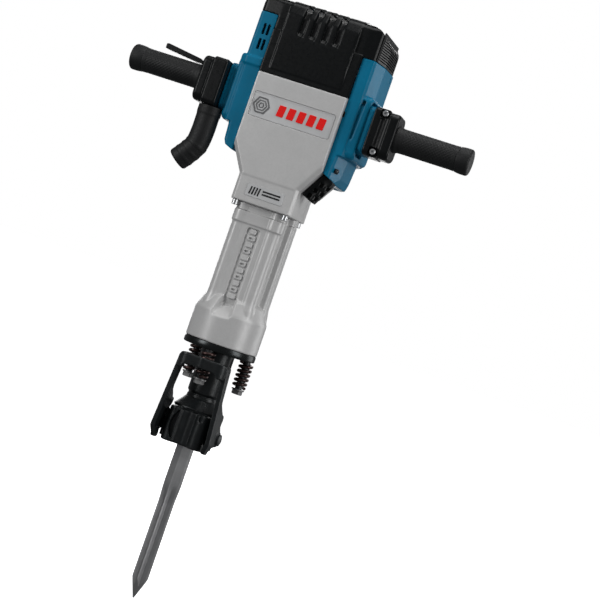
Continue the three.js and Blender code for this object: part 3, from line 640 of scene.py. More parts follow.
def make_chisel():
    """Hexagon shank that runs out into a six-ridge star and a cone point."""
    apothem, ridge, valley = 14.0, 14.6, 9.4
    tip, cone_end, corner, end_chamfer = 1.2, 15.5, 17.0, 13.2
    point_top, star_full, star_end = 40.0, 172.0, 212.0
    top = span("chisel")[1].z
    heights = [1.2 * k for k in range(0, 34)] + [41 + 6 * k for k in range(22)]
    heights += [172 + 2 * k for k in range(22)] + [222 + 20 * k for k in range(10)] + [top - 3, top]
    sections = []
    for z in heights:
        flute = 1 - ease(star_full, star_end, z)
        cone = tip + (cone_end - tip) * z / point_top
        limit = corner if z < top - 1 else end_chamfer
        section = []
        for k in range(96):
            angle = 2 * math.pi * k / 96
            place = ((angle - math.pi / 2) % (math.pi / 3)) / (math.pi / 3) - 0.5
            flat = apothem / math.cos(place * math.pi / 3)
            star = valley + (ridge - valley) * abs(2 * place) ** 1.5
            radius = min(flat + (star - flat) * flute, limit)
            if z < point_top:
                radius = min(radius, cone)
            section.append((radius * math.cos(angle), radius * math.sin(angle), z))
        sections.append(section)
    chisel = loft(sections)
    pin_low, pin_high = span("locking_pin")
    pin_y = (pin_low.y + pin_high.y) / 2
    travel = 18.5
    notch = block(-20, 20, -20, pin_y + 8.4, PIVOT[1] - PIN_BORE - travel, PIVOT[1] + PIN_BORE)
    finish_piece(cut(chisel, notch), "chisel", angle=20)


# ---- tool holder and bail
def holder_blank(bottom, head_top, neck_top):
    """Head, columns, pivot bosses, flare and neck, with the front shaped, before the edges are rounded."""
    core = rounded(rectangle(-33, 33, -41, 29), 12)
    head = layers("z", [(inset(core, 2.5), bottom), (core, bottom + 2.5),
                        (core, head_top - 5), (inset(core, 1.5), head_top - 3),
                        (inset(core, 6), head_top - 1)])
    parts = []
    for side in (LEFT, RIGHT):
        for y, radius in ((-33, 14.5), (20, 13)):
            profile = [(0, bottom), (radius - 2, bottom), (radius, bottom + 2), (radius, head_top - 5),
                       (radius - 1.5, head_top - 3), (radius - 6, head_top - 1), (0, head_top - 1)]
            parts.append(lathe(profile, (side * 24.5, y)))
        boss = [(0, side * 20), (14.2, side * 20), (14.2, side * 43.5), (12.5, side * 45), (0, side * 45)]
        parts.append(lathe(boss, PIVOT, "x"))
        parts.append(block(side * 36 - 9, side * 36 + 9, -30, -2, 286, 334))
    flare = [(0, head_top - 12), (36, head_top - 12), (36, head_top - 4), (42.5, head_top - 2),
             (43.6, head_top), (43.4, head_top + 2.5), (40, head_top + 6), (32, 360.5),
             (28.6, 365), (0, 365)]
    neck = [(0, 350), (28.4, 350), (28.4, 370.4), (27, 371), (27, 373.4), (28.4, 374.2), (30, 376.5),
            (30, neck_top), (0, neck_top)]
    parts += [lathe(flare, (0, -2), steps=96), lathe(neck, steps=96)]
    holder = unite(head, *parts)
    front_groove = [(0, bottom - 1), (11.5, bottom - 1), (11.5, head_top + 1), (0, head_top + 1)]
    holder = cut(holder, lathe(front_groove, (0, -52)))
    lens = [(min(x, -17.5), z) for x, z in circle(13, 313, 41, 96)]
    holder = cut(holder, prism("y", lens, -60, -38.5))
    for side in (LEFT, RIGHT):
        relief = rounded(rectangle(side * 24.5 - 4, side * 24.5 + 4, 330, 350), 3)
        holder = cut(holder, prism("y", relief, -60, -44.5))
    return holder


def make_tool_holder():
    low, high = span("tool_holder")
    bottom, shank_end = low.z, 454.6
    holder = moulded(holder_blank(bottom, 345.0, high.z), 0.9, 6)
    mouth = lathe([(0, bottom - 2), (20, bottom - 2), (16.2, bottom + 4), (0, bottom + 4)])
    hex_bore = prism("z", hexagon(0, 0, 28.6, math.pi / 2), bottom - 3, shank_end)
    anvil_bore = rod("z", 22.4, shank_end, high.z + 5)
    pin_bore = rod("x", PIN_BORE, -60, 60, *PIVOT)
    cut(holder, mouth, hex_bore, anvil_bore, pin_bore)
    finish_piece(holder, "tool_holder")


def lean(side, z):
    """Middle of a bail arm across X: the arms spread downwards and turn in at the foot."""
    spread = 51 - (z - PIVOT[1]) * 10 / 128
    foot = 5.5 * (1 - ease(284, 302, z))
    return side * (spread - foot)


def bail_arm(side, profile, thick):
    """One arm, cut at several heights so that it can bend to its lean."""
    arm = prism("x", profile, -thick / 2, thick / 2)
    heights = sorted({round(z, 2) for _, z in profile})
    work = bmesh.new()
    work.from_mesh(arm.data)
    for z in heights[::2] + [286, 290, 294, 298, 302, 306]:
        bmesh.ops.bisect_plane(work, geom=work.verts[:] + work.edges[:] + work.faces[:],
                               plane_co=(0, 0, z * MM), plane_no=(0, 0, 1))
    for vert in work.verts:
        vert.co.x += lean(side, vert.co.z / MM) * MM
    bmesh.ops.recalc_face_normals(work, faces=work.faces)
    work.to_mesh(arm.data)
    work.free()
    return arm


def make_bail():
    low, high = span("retaining_bail")
    band_bottom, top, thick = 411.0, high.z, 8.0
    outer = rounded(rectangle(-45, 45, low.y, -44), [20, 20, 0, 0], 12)
    inner = rounded(rectangle(-37, 37, low.y + thick, -40), [13, 13, 0, 0], 12)
    strap = layers("z", [(inset(outer, 1.5), band_bottom), (outer, band_bottom + 1.5),
                         (outer, top - 1.5), (inset(outer, 1.5), top)])
    band = cut(strap, prism("z", inner, band_bottom - 5, top + 5))
    boss = prism("z", circle(0, low.y + 15.6, 16, 48), 419.5, top - 1)
    boss = cut(boss, block(-20, 20, low.y + 5, low.y + 40, 400, 450))
    band = unite(band, boss)
    profile = rounded([(-67, top - 1), (-62, 300), (-56, low.z), (-41, low.z), (-33, 294), (-24, 296),
                       (-12, 296), (-5, 303), (-5, 318), (-13, 325), (-20, 334), (-14, 342), (-14, 352),
                       (-24, 354), (-46, 372), (-46, top - 1)],
                      [2, 10, 5, 5, 6, 2, 6, 5, 5, 6, 5, 4, 4, 6, 14, 2], 6)
    arms = []
    for side in (LEFT, RIGHT):
        arms.append(bail_arm(side, profile, thick))
        eye = lathe([(0, side * 45.9), (13.5, side * 45.9), (13.5, side * 55.5), (12, side * 56.3),
                     (0, side * 56.3)], PIVOT, "x")
        arms.append(eye)
    arch = [(-34, 380), (34, 380), (34, 410), (29, 419.5), (-29, 419.5), (-34, 410)]
    arch = rounded(arch, [0, 0, 10, 8, 8, 10])
    front_view = rounded([(-75, 270), (75, 270), (49, 392), (45.4, top), (-45.4, top), (-49, 392)],
                         [0, 0, 0, 11, 11, 0], 8)
    bail = unite(cut(band, prism("y", arch, low.y - 10, -30)), *arms)
    bail = keep_shared(bail, prism("y", front_view, -90, 30))
    bail = moulded(bail, 0.8, 6)
    cut(bail, rod("x", PIN_BORE, -70, 70, *PIVOT))
    finish_piece(bail, "retaining_bail")


def make_locking_pin():
    low, high = span("locking_pin")
    shaft = lathe([(0, low.x + 1.5), (8, low.x + 1.5), (8, high.x - 3), (0, high.x - 3)], PIVOT, "x")
    head = lathe([(0, 56.6), (10.6, 56.6), (11, 57.4), (10.2, 59.4), (6, high.x), (0, high.x)], PIVOT, "x")
    nut = bevelled(prism("x", hexagon(*PIVOT, 18.5), low.x, -56.6), 0.6)
    pin = unite(shaft, head, nut)
    flat = block(-21, 21, -12, 12, -14.4, -2.4)
    to_pivot = Matrix.Translation(Vector((0, *PIVOT)) * MM)
    flat.data.transform(to_pivot @ Matrix.Rotation(math.radians(-60), 4, "X"))
    cut(pin, flat)
    finish_piece(pin, "locking_pin", LOOKS["black_forging"])


# ---- flange, bolts and damper springs
BOLTS = {"front": -90, "right": 30, "left": 150}
BOLT_CIRCLE = 55.0
BOLT_HOLE = 5.4


def bolt_place(name):
    angle = math.radians(BOLTS[name])
    return BOLT_CIRCLE * math.cos(angle), BOLT_CIRCLE * math.sin(angle)


def helix(x, y, z0, z1, radius, turns, start):
    steps = int(turns * 40)
    path = []
    for k in range(steps + 1):
        t = k / steps
        angle = start + 2 * math.pi * turns * t
        path.append((x + radius * math.cos(angle), y + radius * math.sin(angle), z0 + (z1 - z0) * t))
    return path


def make_flange():
    low, high = span("holder_flange")
    r = high.x
    profile = [(30.4, low.z), (42, low.z), (43, low.z - 0.01), (r - 2, low.z), (r - 0.6, low.z + 0.6),
               (r, low.z + 2), (r, high.z - 1.8), (r - 0.6, high.z - 0.5), (r - 2, high.z), (30.4, high.z)]
    ring = ring_lathe(profile)
    holes = []
    for name in BOLTS:
        x, y = bolt_place(name)
        holes.append(rod("z", BOLT_HOLE, low.z - 3, high.z + 3, x, y))
    seat = []
    for k in range(3):
        angle = math.radians(90 + 120 * k)
        seat.append(rod("z", 4.2, low.z - 2, low.z + 4, 50 * math.cos(angle), 50 * math.sin(angle), 24))
    finish_piece(cut(ring, *holes, *seat), "holder_flange", TURNED_BLACK)


def make_bolts_and_springs():
    for name in BOLTS:
        node = f"spring_bolt_{name}"
        low, high = span(node)
        x, y = bolt_place(name)
        head = prism("z", hexagon(x, y, 17), low.z, low.z + 8)
        crown = lathe([(0, low.z - 1), (8.4, low.z - 1), (8.4, low.z), (10.4, low.z + 1.4),
                       (10.4, low.z + 9), (0, low.z + 9)], (x, y))
        head = keep_shared(head, crown)
        washer = lathe([(0, low.z + 7.6), (11.2, low.z + 7.6), (11.5, low.z + 8), (11.5, low.z + 9.7),
                        (11.2, low.z + 10), (0, low.z + 10)], (x, y))
        shaft = rod("z", 5, low.z + 5, high.z, x, y)
        dimple = lathe([(0, low.z - 1), (5.4, low.z - 1), (4.4, low.z + 0.8), (0, low.z + 0.8)], (x, y))
        bolt = cut(unite(head, washer, shaft), dimple)
        finish_piece(bolt, node, BOLT_ZINC)
        sleeve = ring_lathe([(5.1, low.z + 10), (6.3, low.z + 10), (6.3, 478), (5.1, 478)], (x, y))
        finish_piece(sleeve, node, LOOKS["black_forging"], f"spring_guide_{name}")
        node = f"damper_spring_{name}"
        low, high = span(node)
        wire = 2.9
        path = helix(x, y, low.z + wire, high.z - wire - 0.3, 10.4, 5.5, math.radians(BOLTS[name]))
        finish_piece(tube(path, [wire] * len(path), 14), node, angle=60)


# ---- hammer tube
LINER_BORE = 29.3


def make_hammer_tube():
    low, high = span("hammer_tube")
    r, bottom, top = high.x, low.z, high.z
    collar = lathe([(0, bottom), (r - 0.8, bottom), (r, bottom + 0.8), (r, 519), (r - 1, 523), (54, 545),
                    (46, 550), (0, 550)], steps=128)
    parts = [lathe([(0, 515), (43.5, 515), (43.5, top), (0, top)], steps=96)]
    for sx in (LEFT, RIGHT):
        for sy in (LEFT, RIGHT):
            column = [(0, 522), (17.5, 522), (16, 536), (13.4, 547), (13, 552), (13, 678), (15.4, 679.2),
                      (15.4, 698.5), (13.8, 699.7), (13.8, top), (0, top)]
            parts.append(lathe(column, (sx * 31.6, sy * 33.4), steps=64))
        flank = rounded([(28, -8), (52, -5), (56, 0), (56, 22), (28, 26)], [0, 3, 5, 6, 0])
        foot = rounded([(28, -14), (55, -12), (60, -5), (60, 24), (28, 28)], [0, 3, 5, 6, 0])
        parts.append(layers("z", [(sided(sx, foot), 524), (sided(sx, flank), 549), (sided(sx, flank), top)]))
        face = rounded(rectangle(-29, 29, 28, 43.6), 3)
        wide = rounded(rectangle(-31, 31, 28, 55), 3)
        front = [(x, -y) for x, y in face] if sx < 0 else face
        front_foot = [(x, -y) for x, y in wide] if sx < 0 else wide
        parts.append(layers("z", [(front_foot, 524), (front, 549), (front, top)]))
    parts.append(prism("z", rounded(rectangle(-31, 31, -45.6, -28), 3), 679, 699))
    barrel = unite(collar, *parts)
    channel = rounded(rectangle(-12, 12, 536, 674), [1, 1, 5, 5])
    scoop = layers("y", [([(-21, 515), (-16, 509), (16, 509), (21, 515), (21, 548), (-21, 548)], -68),
                         ([(-11, 536), (-10, 534), (10, 534), (11, 536), (11, 548), (-11, 548)], -41)])
    barrel = cut(barrel, prism("y", channel, -70, -39.8), scoop)
    barrel = moulded(barrel, 1.0, 5)
    holes = [rod("z", BOLT_HOLE, bottom - 3, bottom + 25, *bolt_place(name)) for name in BOLTS]
    step = ring_lathe([(60, top - 12.9), (60, top - 12.1), (45.8, top - 12.1), (45.8, top - 12.9)])
    cut(barrel, rod("z", 30.3, bottom - 5, 560), rod("z", LINER_BORE, 560, top + 5), *holes, step)
    finish_piece(barrel, "hammer_tube")


def make_channel_marks():
    """Plain raised blocks and rings in the barrel's front channel."""
    marks = []
    count, first, pitch = 11, 548.0, 11.6
    for k in range(count):
        z = first + pitch * k
        width = 12.0 if k % 3 else 15.0
        bar = rounded(rectangle(-width / 2, width / 2, z, z + 8.4), 2.2)
        mark = layers("y", [(inset(bar, 0.5), -43.0), (bar, -42.4), (bar, -39.2)])
        if k % 2:
            mark = cut(mark, prism("y", rounded(rectangle(-3.6, 3.6, z + 2.6, z + 5.8), 1), -45, -38))
        marks.append(mark)
    finish_piece(joined(marks), "hammer_tube", trim="channel_marks")


# ---- gear housing, screws and labels
NECK_SCREWS = {"front_left": (-46.5, -49.0), "front_right": (46.5, -49.0), "rear_left": (-46.5, 49.0),
               "rear_right": (46.5, 49.0)}


def make_gear_housing():
    low, high = span("gear_housing")
    bottom, top, front = low.z, high.z, low.y
    neck, panel, neck_top, shoulder = 56.0, high.x, 758.0, 803.0
    outline = [(-neck, bottom), (neck, bottom), (neck, neck_top), (panel, shoulder), (panel, top),
               (-panel, top), (-panel, shoulder), (-neck, neck_top)]
    slopes = [0.8, 6.5, 7.0, 1.2, 0.3, 1.2, 7.0, 6.5]
    body = layers("y", [(inset(outline, slopes), front), (outline, front + 6), (outline, 50),
                        (inset(outline, slopes), 56)])
    rear = [(-57.2, 762), (57.2, 762), (panel, shoulder), (panel, top), (-panel, top), (-panel, shoulder)]
    body = unite(body, prism("y", rear, -30, high.y))
    cavity = [(-50, 768), (50, 768), (76, 811), (76, top + 5), (-76, top + 5), (-76, 811)]
    neck_face = [(-60, 700), (front + 0.8, 700), (front + 0.8, neck_top - 1.5), (front - 0.1, neck_top + 1),
                 (-60, neck_top + 1)]
    body = cut(body, prism("y", cavity, front + 7, high.y - 6), prism("x", neck_face, -60, 60))
    body = moulded(body, 1.25, 4)
    badge_middle = 878.8
    sunk = rounded(rectangle(-75, 75, badge_middle - 21.7, badge_middle + 21.7), 4)
    rim = rounded(rectangle(-76.2, 76.2, badge_middle - 22.9, badge_middle + 22.9), 5)
    recess = layers("y", [(rim, front - 1), (rim, front), (sunk, front + 1.6), (sunk, front + 2.0)])
    label = rounded(rectangle(-34, 36, 724, 746), 2)
    seams = []
    for side in (LEFT, RIGHT):
        seams.append(block(side * neck - 0.8, side * neck + 0.8, 27.4, 28.6, bottom - 2, neck_top + 8))
    sockets = [rod("z", 3.3, bottom - 3, bottom + 14, x, y) for x, y in sorted(NECK_SCREWS.values())]
    bore = rod("z", LINER_BORE, bottom - 5, 775)
    cut(body, recess, prism("y", label, front - 2, front + 1.2), bore, *seams, *sockets)
    finish_piece(body, "gear_housing")


def make_neck_screws():
    for name, (x, y) in NECK_SCREWS.items():
        node = f"neck_screw_{name}"
        low, high = span(node)
        profile = [(0, low.z), (4.6, low.z), (5.4, low.z + 0.8), (5.4, low.z + 8.6), (5.0, low.z + 9),
                   (3, low.z + 9), (3, high.z), (0, high.z)]
        screw = lathe(profile, (x, y), steps=40)
        socket = prism("z", hexagon(x, y, 5), low.z - 1, low.z + 5)
        finish_piece(cut(screw, socket), node)


def make_badge():
    low, high = span("badge_plate")
    front = low.y
    middle = (low.z + high.z) / 2
    face = rounded(rectangle(-74.5, 74.5, middle - 21.2, middle + 21.2), 3.6)
    field = rounded(rectangle(-73, 73, middle - 19.7, middle + 19.7), 3)
    back = high.y
    plate = prism("y", face, back - 0.8, back)
    lip = cut(prism("y", face, back - 1.3, back - 0.6), prism("y", field, back - 3, back + 1))
    finish_piece(unite(plate, lip), "badge_plate", angle=20)
    rings = []
    for size, width in ((28, 2.4), (18, 1.6), (9, 1.4)):
        outer = rounded(hexagon(-57, middle, size), 2)
        inner = rounded(hexagon(-57, middle, size - 2 * width), 1.5)
        rings.append(cut(prism("y", outer, front, back - 0.5), prism("y", inner, front - 3, back + 2)))
    finish_piece(joined(rings), "badge_plate", GREY_INK, "badge_emblem")
    bars = []
    for k in range(5):
        x = -27 + 18.6 * k
        shape = rounded([(x, middle - 10), (x + 12.6, middle - 10), (x + 14.6, middle + 10),
                         (x + 2, middle + 10)], 1.5)
        edge = inset(shape, 0.3)
        bars.append(layers("y", [(edge, front - 0.1), (shape, front + 0.3), (shape, back - 0.5)]))
    finish_piece(joined(bars), "badge_plate", RED_INK, "badge_bars")


def make_type_plate():
    low, high = span("type_plate")
    middle = (low.z + high.z) / 2
    outline = rounded(rectangle(low.x, high.x, low.z, high.z), 1.6)
    plate = layers("y", [(inset(outline, 0.3), low.y), (outline, low.y + 0.3),
                         (outline, high.y)])
    finish_piece(plate, "type_plate")
    outlines = []
    for k in range(4):
        x = low.x + 7 + 5.2 * k
        outlines.append([(x - 1, middle - 7), (x + 1.8, middle - 7), (x + 3.6, middle + 7),
                         (x + 0.8, middle + 7)])
    for z in (middle + 2.2, middle - 3.2):
        outlines.append(rectangle(low.x + 30, low.x + 63, z, z + 3))
    marks = [prism("y", rounded(shape, 0.6), low.y - 0.25, low.y + 0.1) for shape in outlines]
    finish_piece(joined(marks), "type_plate", DARK_INK, "type_plate_marks")


# ---- motor hood
def hood_outline():
    corners = [(80, -49), (102, -47), (109, -40), (116, 0), (116, 69), (96, 115), (-96, 115), (-116, 69),
               (-117, 0), (-117, -41), (-111, -46), (-80, -49)]
    return rounded(corners, [6, 5, 6, 40, 22, 22, 22, 22, 40, 6, 5, 6], 6)


def make_hood():
    low, high = span("motor_hood")
    shell_top = {LEFT: span("side_shell_left")[1].z, RIGHT: span("side_shell_right")[1].z}
    join_z, top, panel_bottom = shell_top[RIGHT], high.z - 2, low.z
    cap = prism("z", hood_outline(), join_z + 0.3, top)
    front_view = rounded([(-117.2, 900), (116.2, 900), (116.2, top - 18), (68, top - 1), (0, top),
                          (-70, top - 1), (-117.2, top - 7)], [0, 0, 36, 60, 0, 60, 24], 10)
    side_view = rounded([(-49.5, 900), (118, 900), (118, top - 18), (60, top - 1), (20, top - 1),
                         (-22, top - 4), (-49.5, top - 12)], [0, 0, 24, 60, 60, 40, 14], 10)
    cap = keep_shared(cap, prism("y", front_view, -70, 130), prism("x", side_view, -130, 130))
    band_front = low.y
    band_side = [(band_front + 3.4, 945), (band_front, join_z - 4), (band_front + 0.4, 1044),
                 (-44, high.z - 9), (-8, high.z - 2), (40, high.z), (66, high.z - 4), (66, 1050),
                 (-30, 1050), (-44, 1035), (-44, 941)]
    band = prism("x", rounded(band_side, [1, 20, 16, 22, 30, 30, 6, 0, 0, 0, 0], 8), -65.5, 65.5)
    panel = prism("y", rectangle(-82.8, 82.8, panel_bottom, join_z + 2), -52.2, -44)
    hood = unite(cap, band, panel)
    grooves = []
    for x in (-32.2, -10.75, 10.75, 32.2):
        floor = [(-50.6, 1017.5), (-50.2, 1041), (-41, 1062.5), (-8, 1070), (40, 1072.6), (58, 1070)]
        path = [(-60, 1006.5)] + floor + [(66, 1082), (40, 1090), (-46, 1090), (-66, 1066)]
        path = rounded(path, [0, 2, 14, 20, 30, 20, 3, 0, 0, 0, 0], 5)
        outer = inset(path, -1.2)
        grooves.append(layers("x", [(outer, x - 5.3), (path, x - 3.4), (path, x + 3.4), (outer, x + 5.3)]))
    hollow = prism("z", inset(hood_outline(), 6), 930, top - 9)
    front_hollow = block(-79, 79, -47.5, -30, 930, join_z + 5)
    left_cut = block(-130, -83, -70, 130, 900, shell_top[LEFT] + 0.3)
    rear_cut = block(-84, -40, 80, 130, 900, shell_top[LEFT] + 0.3)
    hood = cut(hood, hollow, front_hollow, left_cut, rear_cut, *grooves)
    hood = moulded(hood, 1.2, 5)
    louvres = [prism("x", rounded(rectangle(-40, 72, 1014.5 + 4.1 * k, 1016.5 + 4.1 * k), 0.9), 106, 125)
               for k in range(11)]
    cut(hood, *louvres)
    finish_piece(hood, "motor_hood")
    baffle = prism("x", rounded(rectangle(-44, 76, 1011, 1062), 2), 106.5, 108)
    finish_piece(baffle, "motor_hood", trim="louvre_baffle")


# ---- blue side shells
SHELL_FRONT = {RIGHT: [(83.4, -47), (104.6, -47), (108.2, -42), (116.5, 0)],
               LEFT: [(83.4, -47), (112, -47), (117, -41), (117.5, 0)]}
SHELL_BACK = [(117.5, 70), (97, 117), (40.4, 118.5)]
SHELL_ROUND = [0.5, 1.6, 3, 40, 22, 22, 0.5]
SHELL_STEP = 838.0
SHELL_WALL = 3.2
SHELL_FLOOR = 14.2
SHELL_SCREW = (-33.0, 812.0)


def shell_outline(side, inset_x, wall=0.0):
    """Shell section seen from above: outer wall, then the open side that closes on the housing."""
    corners = [(max(x - (inset_x if x > 84 else 0), 40.4), y) for x, y in SHELL_FRONT[side] + SHELL_BACK]
    if wall:
        corners = [(x - wall, y + wall if y < 0 else y - wall * (y > 100)) for x, y in corners]
        corners = corners + [(36, 90), (80, 90)]
    else:
        corners = corners + [(40.4, 97), (83.4, 97)]
    return sided(side, rounded(corners, SHELL_ROUND + [0, 0], 6))


def shell_body(side, bottom, top):
    """The shell as a full body, with its pad and, on the left, the rib above the boss."""
    upper = prism("z", shell_outline(side, 0), SHELL_STEP, top)
    lower = layers("z", [(shell_outline(side, 13), bottom), (shell_outline(side, 9), SHELL_STEP + 4)])
    pad_outline = rounded(rectangle(-45, 63, SHELL_STEP, 950), 12, 8)
    pad_face = inset(pad_outline, 3)
    pad = layers("x", [(pad_outline, side * 105), (pad_outline, side * 121), (pad_face, side * 125)])
    parts = [lower, pad]
    if side == LEFT:
        rib = [(83.6, -49.6), (113, -49.6), (124, -43), (129, -22), (129, 36), (83.6, 36)]
        rib = sided(side, rounded(rib, [0, 5, 6, 20, 8, 0]))
        edge = inset(rib, 2.5)
        parts.append(layers("z", [(edge, 940), (rib, 943), (rib, 955), (edge, 958.5)]))
    return unite(upper, *parts)


def shell_corner(side, bottom):
    """What is cut from the lower corner, which differs from side to side."""
    if side == LEFT:
        tip = [(-84, 770), (-130, 770), (-130, 818), (-106, 807), (-99, 797), (-84, bottom)]
        return [prism("y", tip, -60, 130)]
    corner = [(60, 770), (120, 770), (104, bottom + 0.5), (83, bottom + 11), (60, bottom + 11)]
    tip = [(99, 780), (130, 780), (130, 814), (104.5, 803), (99, bottom + 0.5)]
    fold = [(107.2, 941), (113.8, 941), (108.6, 842), (107.2, 842)]
    return [prism("y", corner, -60, -20), prism("y", tip, -60, 130), prism("y", fold, -60, -36)]


def shell_openings(side, floor_z, top):
    """The crisp cuts: boss opening, spring seat, slots and screw hole."""
    boss_outline = rounded(rectangle(-43.4, 7.4, 846, 944), 11, 8)
    openings = [prism("x", boss_outline, *on_side(side, 104, 130)),
                rod("z", 9, floor_z - 4.2, floor_z + 3, side * 92, 44)]
    if side == LEFT:
        for x in (-100.6, -92.7):
            for z in (1007.3, 980):
                slot = rounded(rectangle(x - 2.6, x + 2.6, z - 10, z + 10), 2)
                openings.append(prism("y", slot, -60, -40))
    for y in (-20, 55):
        slot = rounded(rectangle(y - 1.3, y + 1.3, top - 16, top - 5), 1)
        openings.append(prism("x", slot, *on_side(side, 113.5, 125)))
    openings.append(rod("x", 6.2, *on_side(side, 101, 125), *SHELL_SCREW, 40))
    return openings


def make_shell(name, side):
    node = f"side_shell_{name}"
    low, high = span(node)
    bottom, top = low.z, high.z
    floor_z = bottom + SHELL_FLOOR
    hollow = prism("z", shell_outline(side, 0, SHELL_WALL), SHELL_STEP + SHELL_WALL, top + 5)
    low_hollow = layers("z", [(shell_outline(side, 13, SHELL_WALL), floor_z),
                              (shell_outline(side, 9, SHELL_WALL), SHELL_STEP + 6)])
    shell = cut(shell_body(side, bottom, top), hollow, low_hollow)
    shell = moulded(cut(shell, *shell_corner(side, bottom)), 1.2, 5)
    finish_piece(cut(shell, *shell_openings(side, floor_z, top)), node)
    profile = [(0, 100), (4.6, 100), (4.6, 104), (3.4, 105.5), (0, 105.5)]
    head = lathe([(radius, side * x) for radius, x in profile], SHELL_SCREW, "x", 32)
    drive = prism("x", hexagon(*SHELL_SCREW, 4), *on_side(side, 103, 107))
    finish_piece(cut(head, drive), node, LOOKS["black_forging"], f"shell_screw_{name}")


# ---- rear cover, latch and grille
def make_rear_cover():
    low, high = span("rear_cover")
    wall = prism("y", rounded(rectangle(low.x, high.x, low.z, high.z), 3), 114, high.y)
    floor = block(low.x, high.x, low.y, 116, low.z, low.z + 4)
    cheeks = [block(*on_side(side, 36.8, high.x), low.y, 116, low.z, 794) for side in (LEFT, RIGHT)]
    cover = unite(wall, floor, *cheeks)
    cutters = []
    for k in range(7):
        slot = rounded(rectangle(-26, 26, 955 + 8 * k, 958.5 + 8 * k), 1.7)
        cutters.append(prism("y", slot, 110, 122))
    for x in (-20, 0, 20):
        cutters.append(prism("y", rounded(rectangle(x - 2, x + 2, 790, 930), 2), 117, 122))
    cover = moulded(cut(cover, *cutters), 1.0, 4)
    screw_places = ((-32, 775), (32, 775), (-32, 1000), (32, 1000))
    for x, z in screw_places:
        cut(cover, rod("y", 4.6, 116.4, 122, x, z, 32))
    finish_piece(cover, "rear_cover")
    screws = []
    for x, z in screw_places:
        head = lathe([(0, 116), (3.8, 116), (3.8, 117.4), (3, 118), (0, 118)], (x, z), "y", 32)
        screws.append(cut(head, prism("y", hexagon(x, z, 3.2), 117, 120)))
    finish_piece(joined(screws), "rear_cover", LOOKS["bright_steel"], "rear_cover_screws")


def make_shell_latch():
    latch = bevelled(block(82.9, 86.4, -47.8, -41, 903, 912.5), 0.4)
    finish_piece(latch, "side_shell_right", LOOKS["black_plastic"], "shell_latch")


def make_grille():
    """The air outlet under the right shell; the left shoulder has none."""
    low, high = span("air_grille")
    corners = [(57.6, 757), (80, 747.3), (104, high.z + 0.6), (84, high.z + 10.8), (82.6, high.z + 10)]
    outline = rounded(corners, 2)
    face = inset(outline, 1.0)
    grille = layers("y", [(face, low.y), (outline, low.y + 1.2), (outline, high.y - 1.2), (face, high.y)])
    cutters = []
    for row in range(3):
        for column in range(2):
            x = 71.0 + 12.2 * column + 7.2 * row
            z = 759.5 + 11.2 * row - 3.0 * column
            cell = [(x - 4.4, z - 3.6), (x + 3.2, z - 5.2), (x + 5.6, z + 2.6), (x - 2.4, z + 4.0)]
            cutters.append(prism("y", rounded(cell, 1), low.y - 3, low.y + 10))
    grille = cut(grille, *cutters)
    windows = []
    for x, z in ((90.2, 765.5), (98, 779)):
        windows.append(prism("x", rounded(rectangle(-29.4, -18.6, z - 3.6, z + 3.6), 1), x - 11, x + 12))
    grille = bevelled(cut(grille, *windows), 0.35, 2, 40)
    finish_piece(grille, "air_grille")


# ---- handles
def make_handle(name, side):
    low, high = span(f"handle_boss_{name}")
    outline = rounded(rectangle(low.y, high.y, low.z, high.z), 12, 10)
    ends = on_side(side, 103.3, 136.7)
    small = inset(outline, 1.5)
    boss = layers("x", [(small, ends[0]), (outline, ends[0] + 1.5), (outline, ends[1] - 1.5),
                        (small, ends[1])])
    seam = inset(outline, 0.9)
    seam_x = side * 131
    line = cut(prism("x", inset(outline, -3), seam_x - 0.5, seam_x + 0.5),
               prism("x", seam, seam_x - 3, seam_x + 3))
    finish_piece(cut(boss, line), f"handle_boss_{name}")
    make_grip_block(name, side)
    make_grip(name, side)


def make_grip_block(name, side):
    node = f"grip_block_{name}"
    low, high = span(node)
    near = 137.0
    y, z = (low.y + high.y) / 2, (low.z + high.z) / 2
    main = rounded(rectangle(low.y, high.y, low.z, high.z), 9, 8)
    small = inset(main, 2)
    body = layers("x", [(small, side * near), (main, side * (near + 2)), (main, side * (near + 25)),
                        (small, side * (near + 27))])
    flange = rounded(rectangle(y - 28.5, y + 28.5, z - 41, z + 40.5), 14, 10)
    lip = inset(flange, 4)
    end = layers("x", [(flange, side * (near + 20)), (flange, side * (near + 41)),
                       (inset(flange, 1.2), side * (near + 44)), (lip, side * (near + 46))])
    body = unite(body, end)
    cutters = []
    groove_x = side * (near + 29)
    groove = cut(prism("y", rectangle(groove_x - 1, groove_x + 1, z - 50, z + 50), -80, 20),
                 prism("x", inset(flange, 1.5), side * (near + 20), side * (near + 40)))
    cutters.append(groove)
    if side > 0:
        for s in (-1, 1):
            pocket = rounded(rectangle(near + 11, near + 27, z + s * 34 - 8, z + s * 34 + 8), 4)
            cutters.append(prism("y", pocket, -72, -53))
        bridge = rounded(rectangle(near + 15.5, near + 22.5, z - 25, z + 25), 2)
        cutters.append(prism("y", bridge, -72, -59.5))
    body = moulded(cut(body, *cutters), 0.9, 4)
    finish_piece(body, node)
    if side > 0:
        for where in ("upper", "lower"):
            make_clamp_screw(where)


def make_clamp_screw(where):
    node = f"clamp_screw_{where}"
    low, high = span(node)
    x, z = (low.x + high.x) / 2, (low.z + high.z) / 2
    profile = [(0, high.y), (5.2, high.y), (5.2, low.y + 0.8), (4.5, low.y), (0, low.y)]
    head = lathe(profile, (x, z), "y", 40)
    socket = prism("y", hexagon(x, z, 4.6), low.y - 2, low.y + 3)
    finish_piece(cut(head, socket), node)


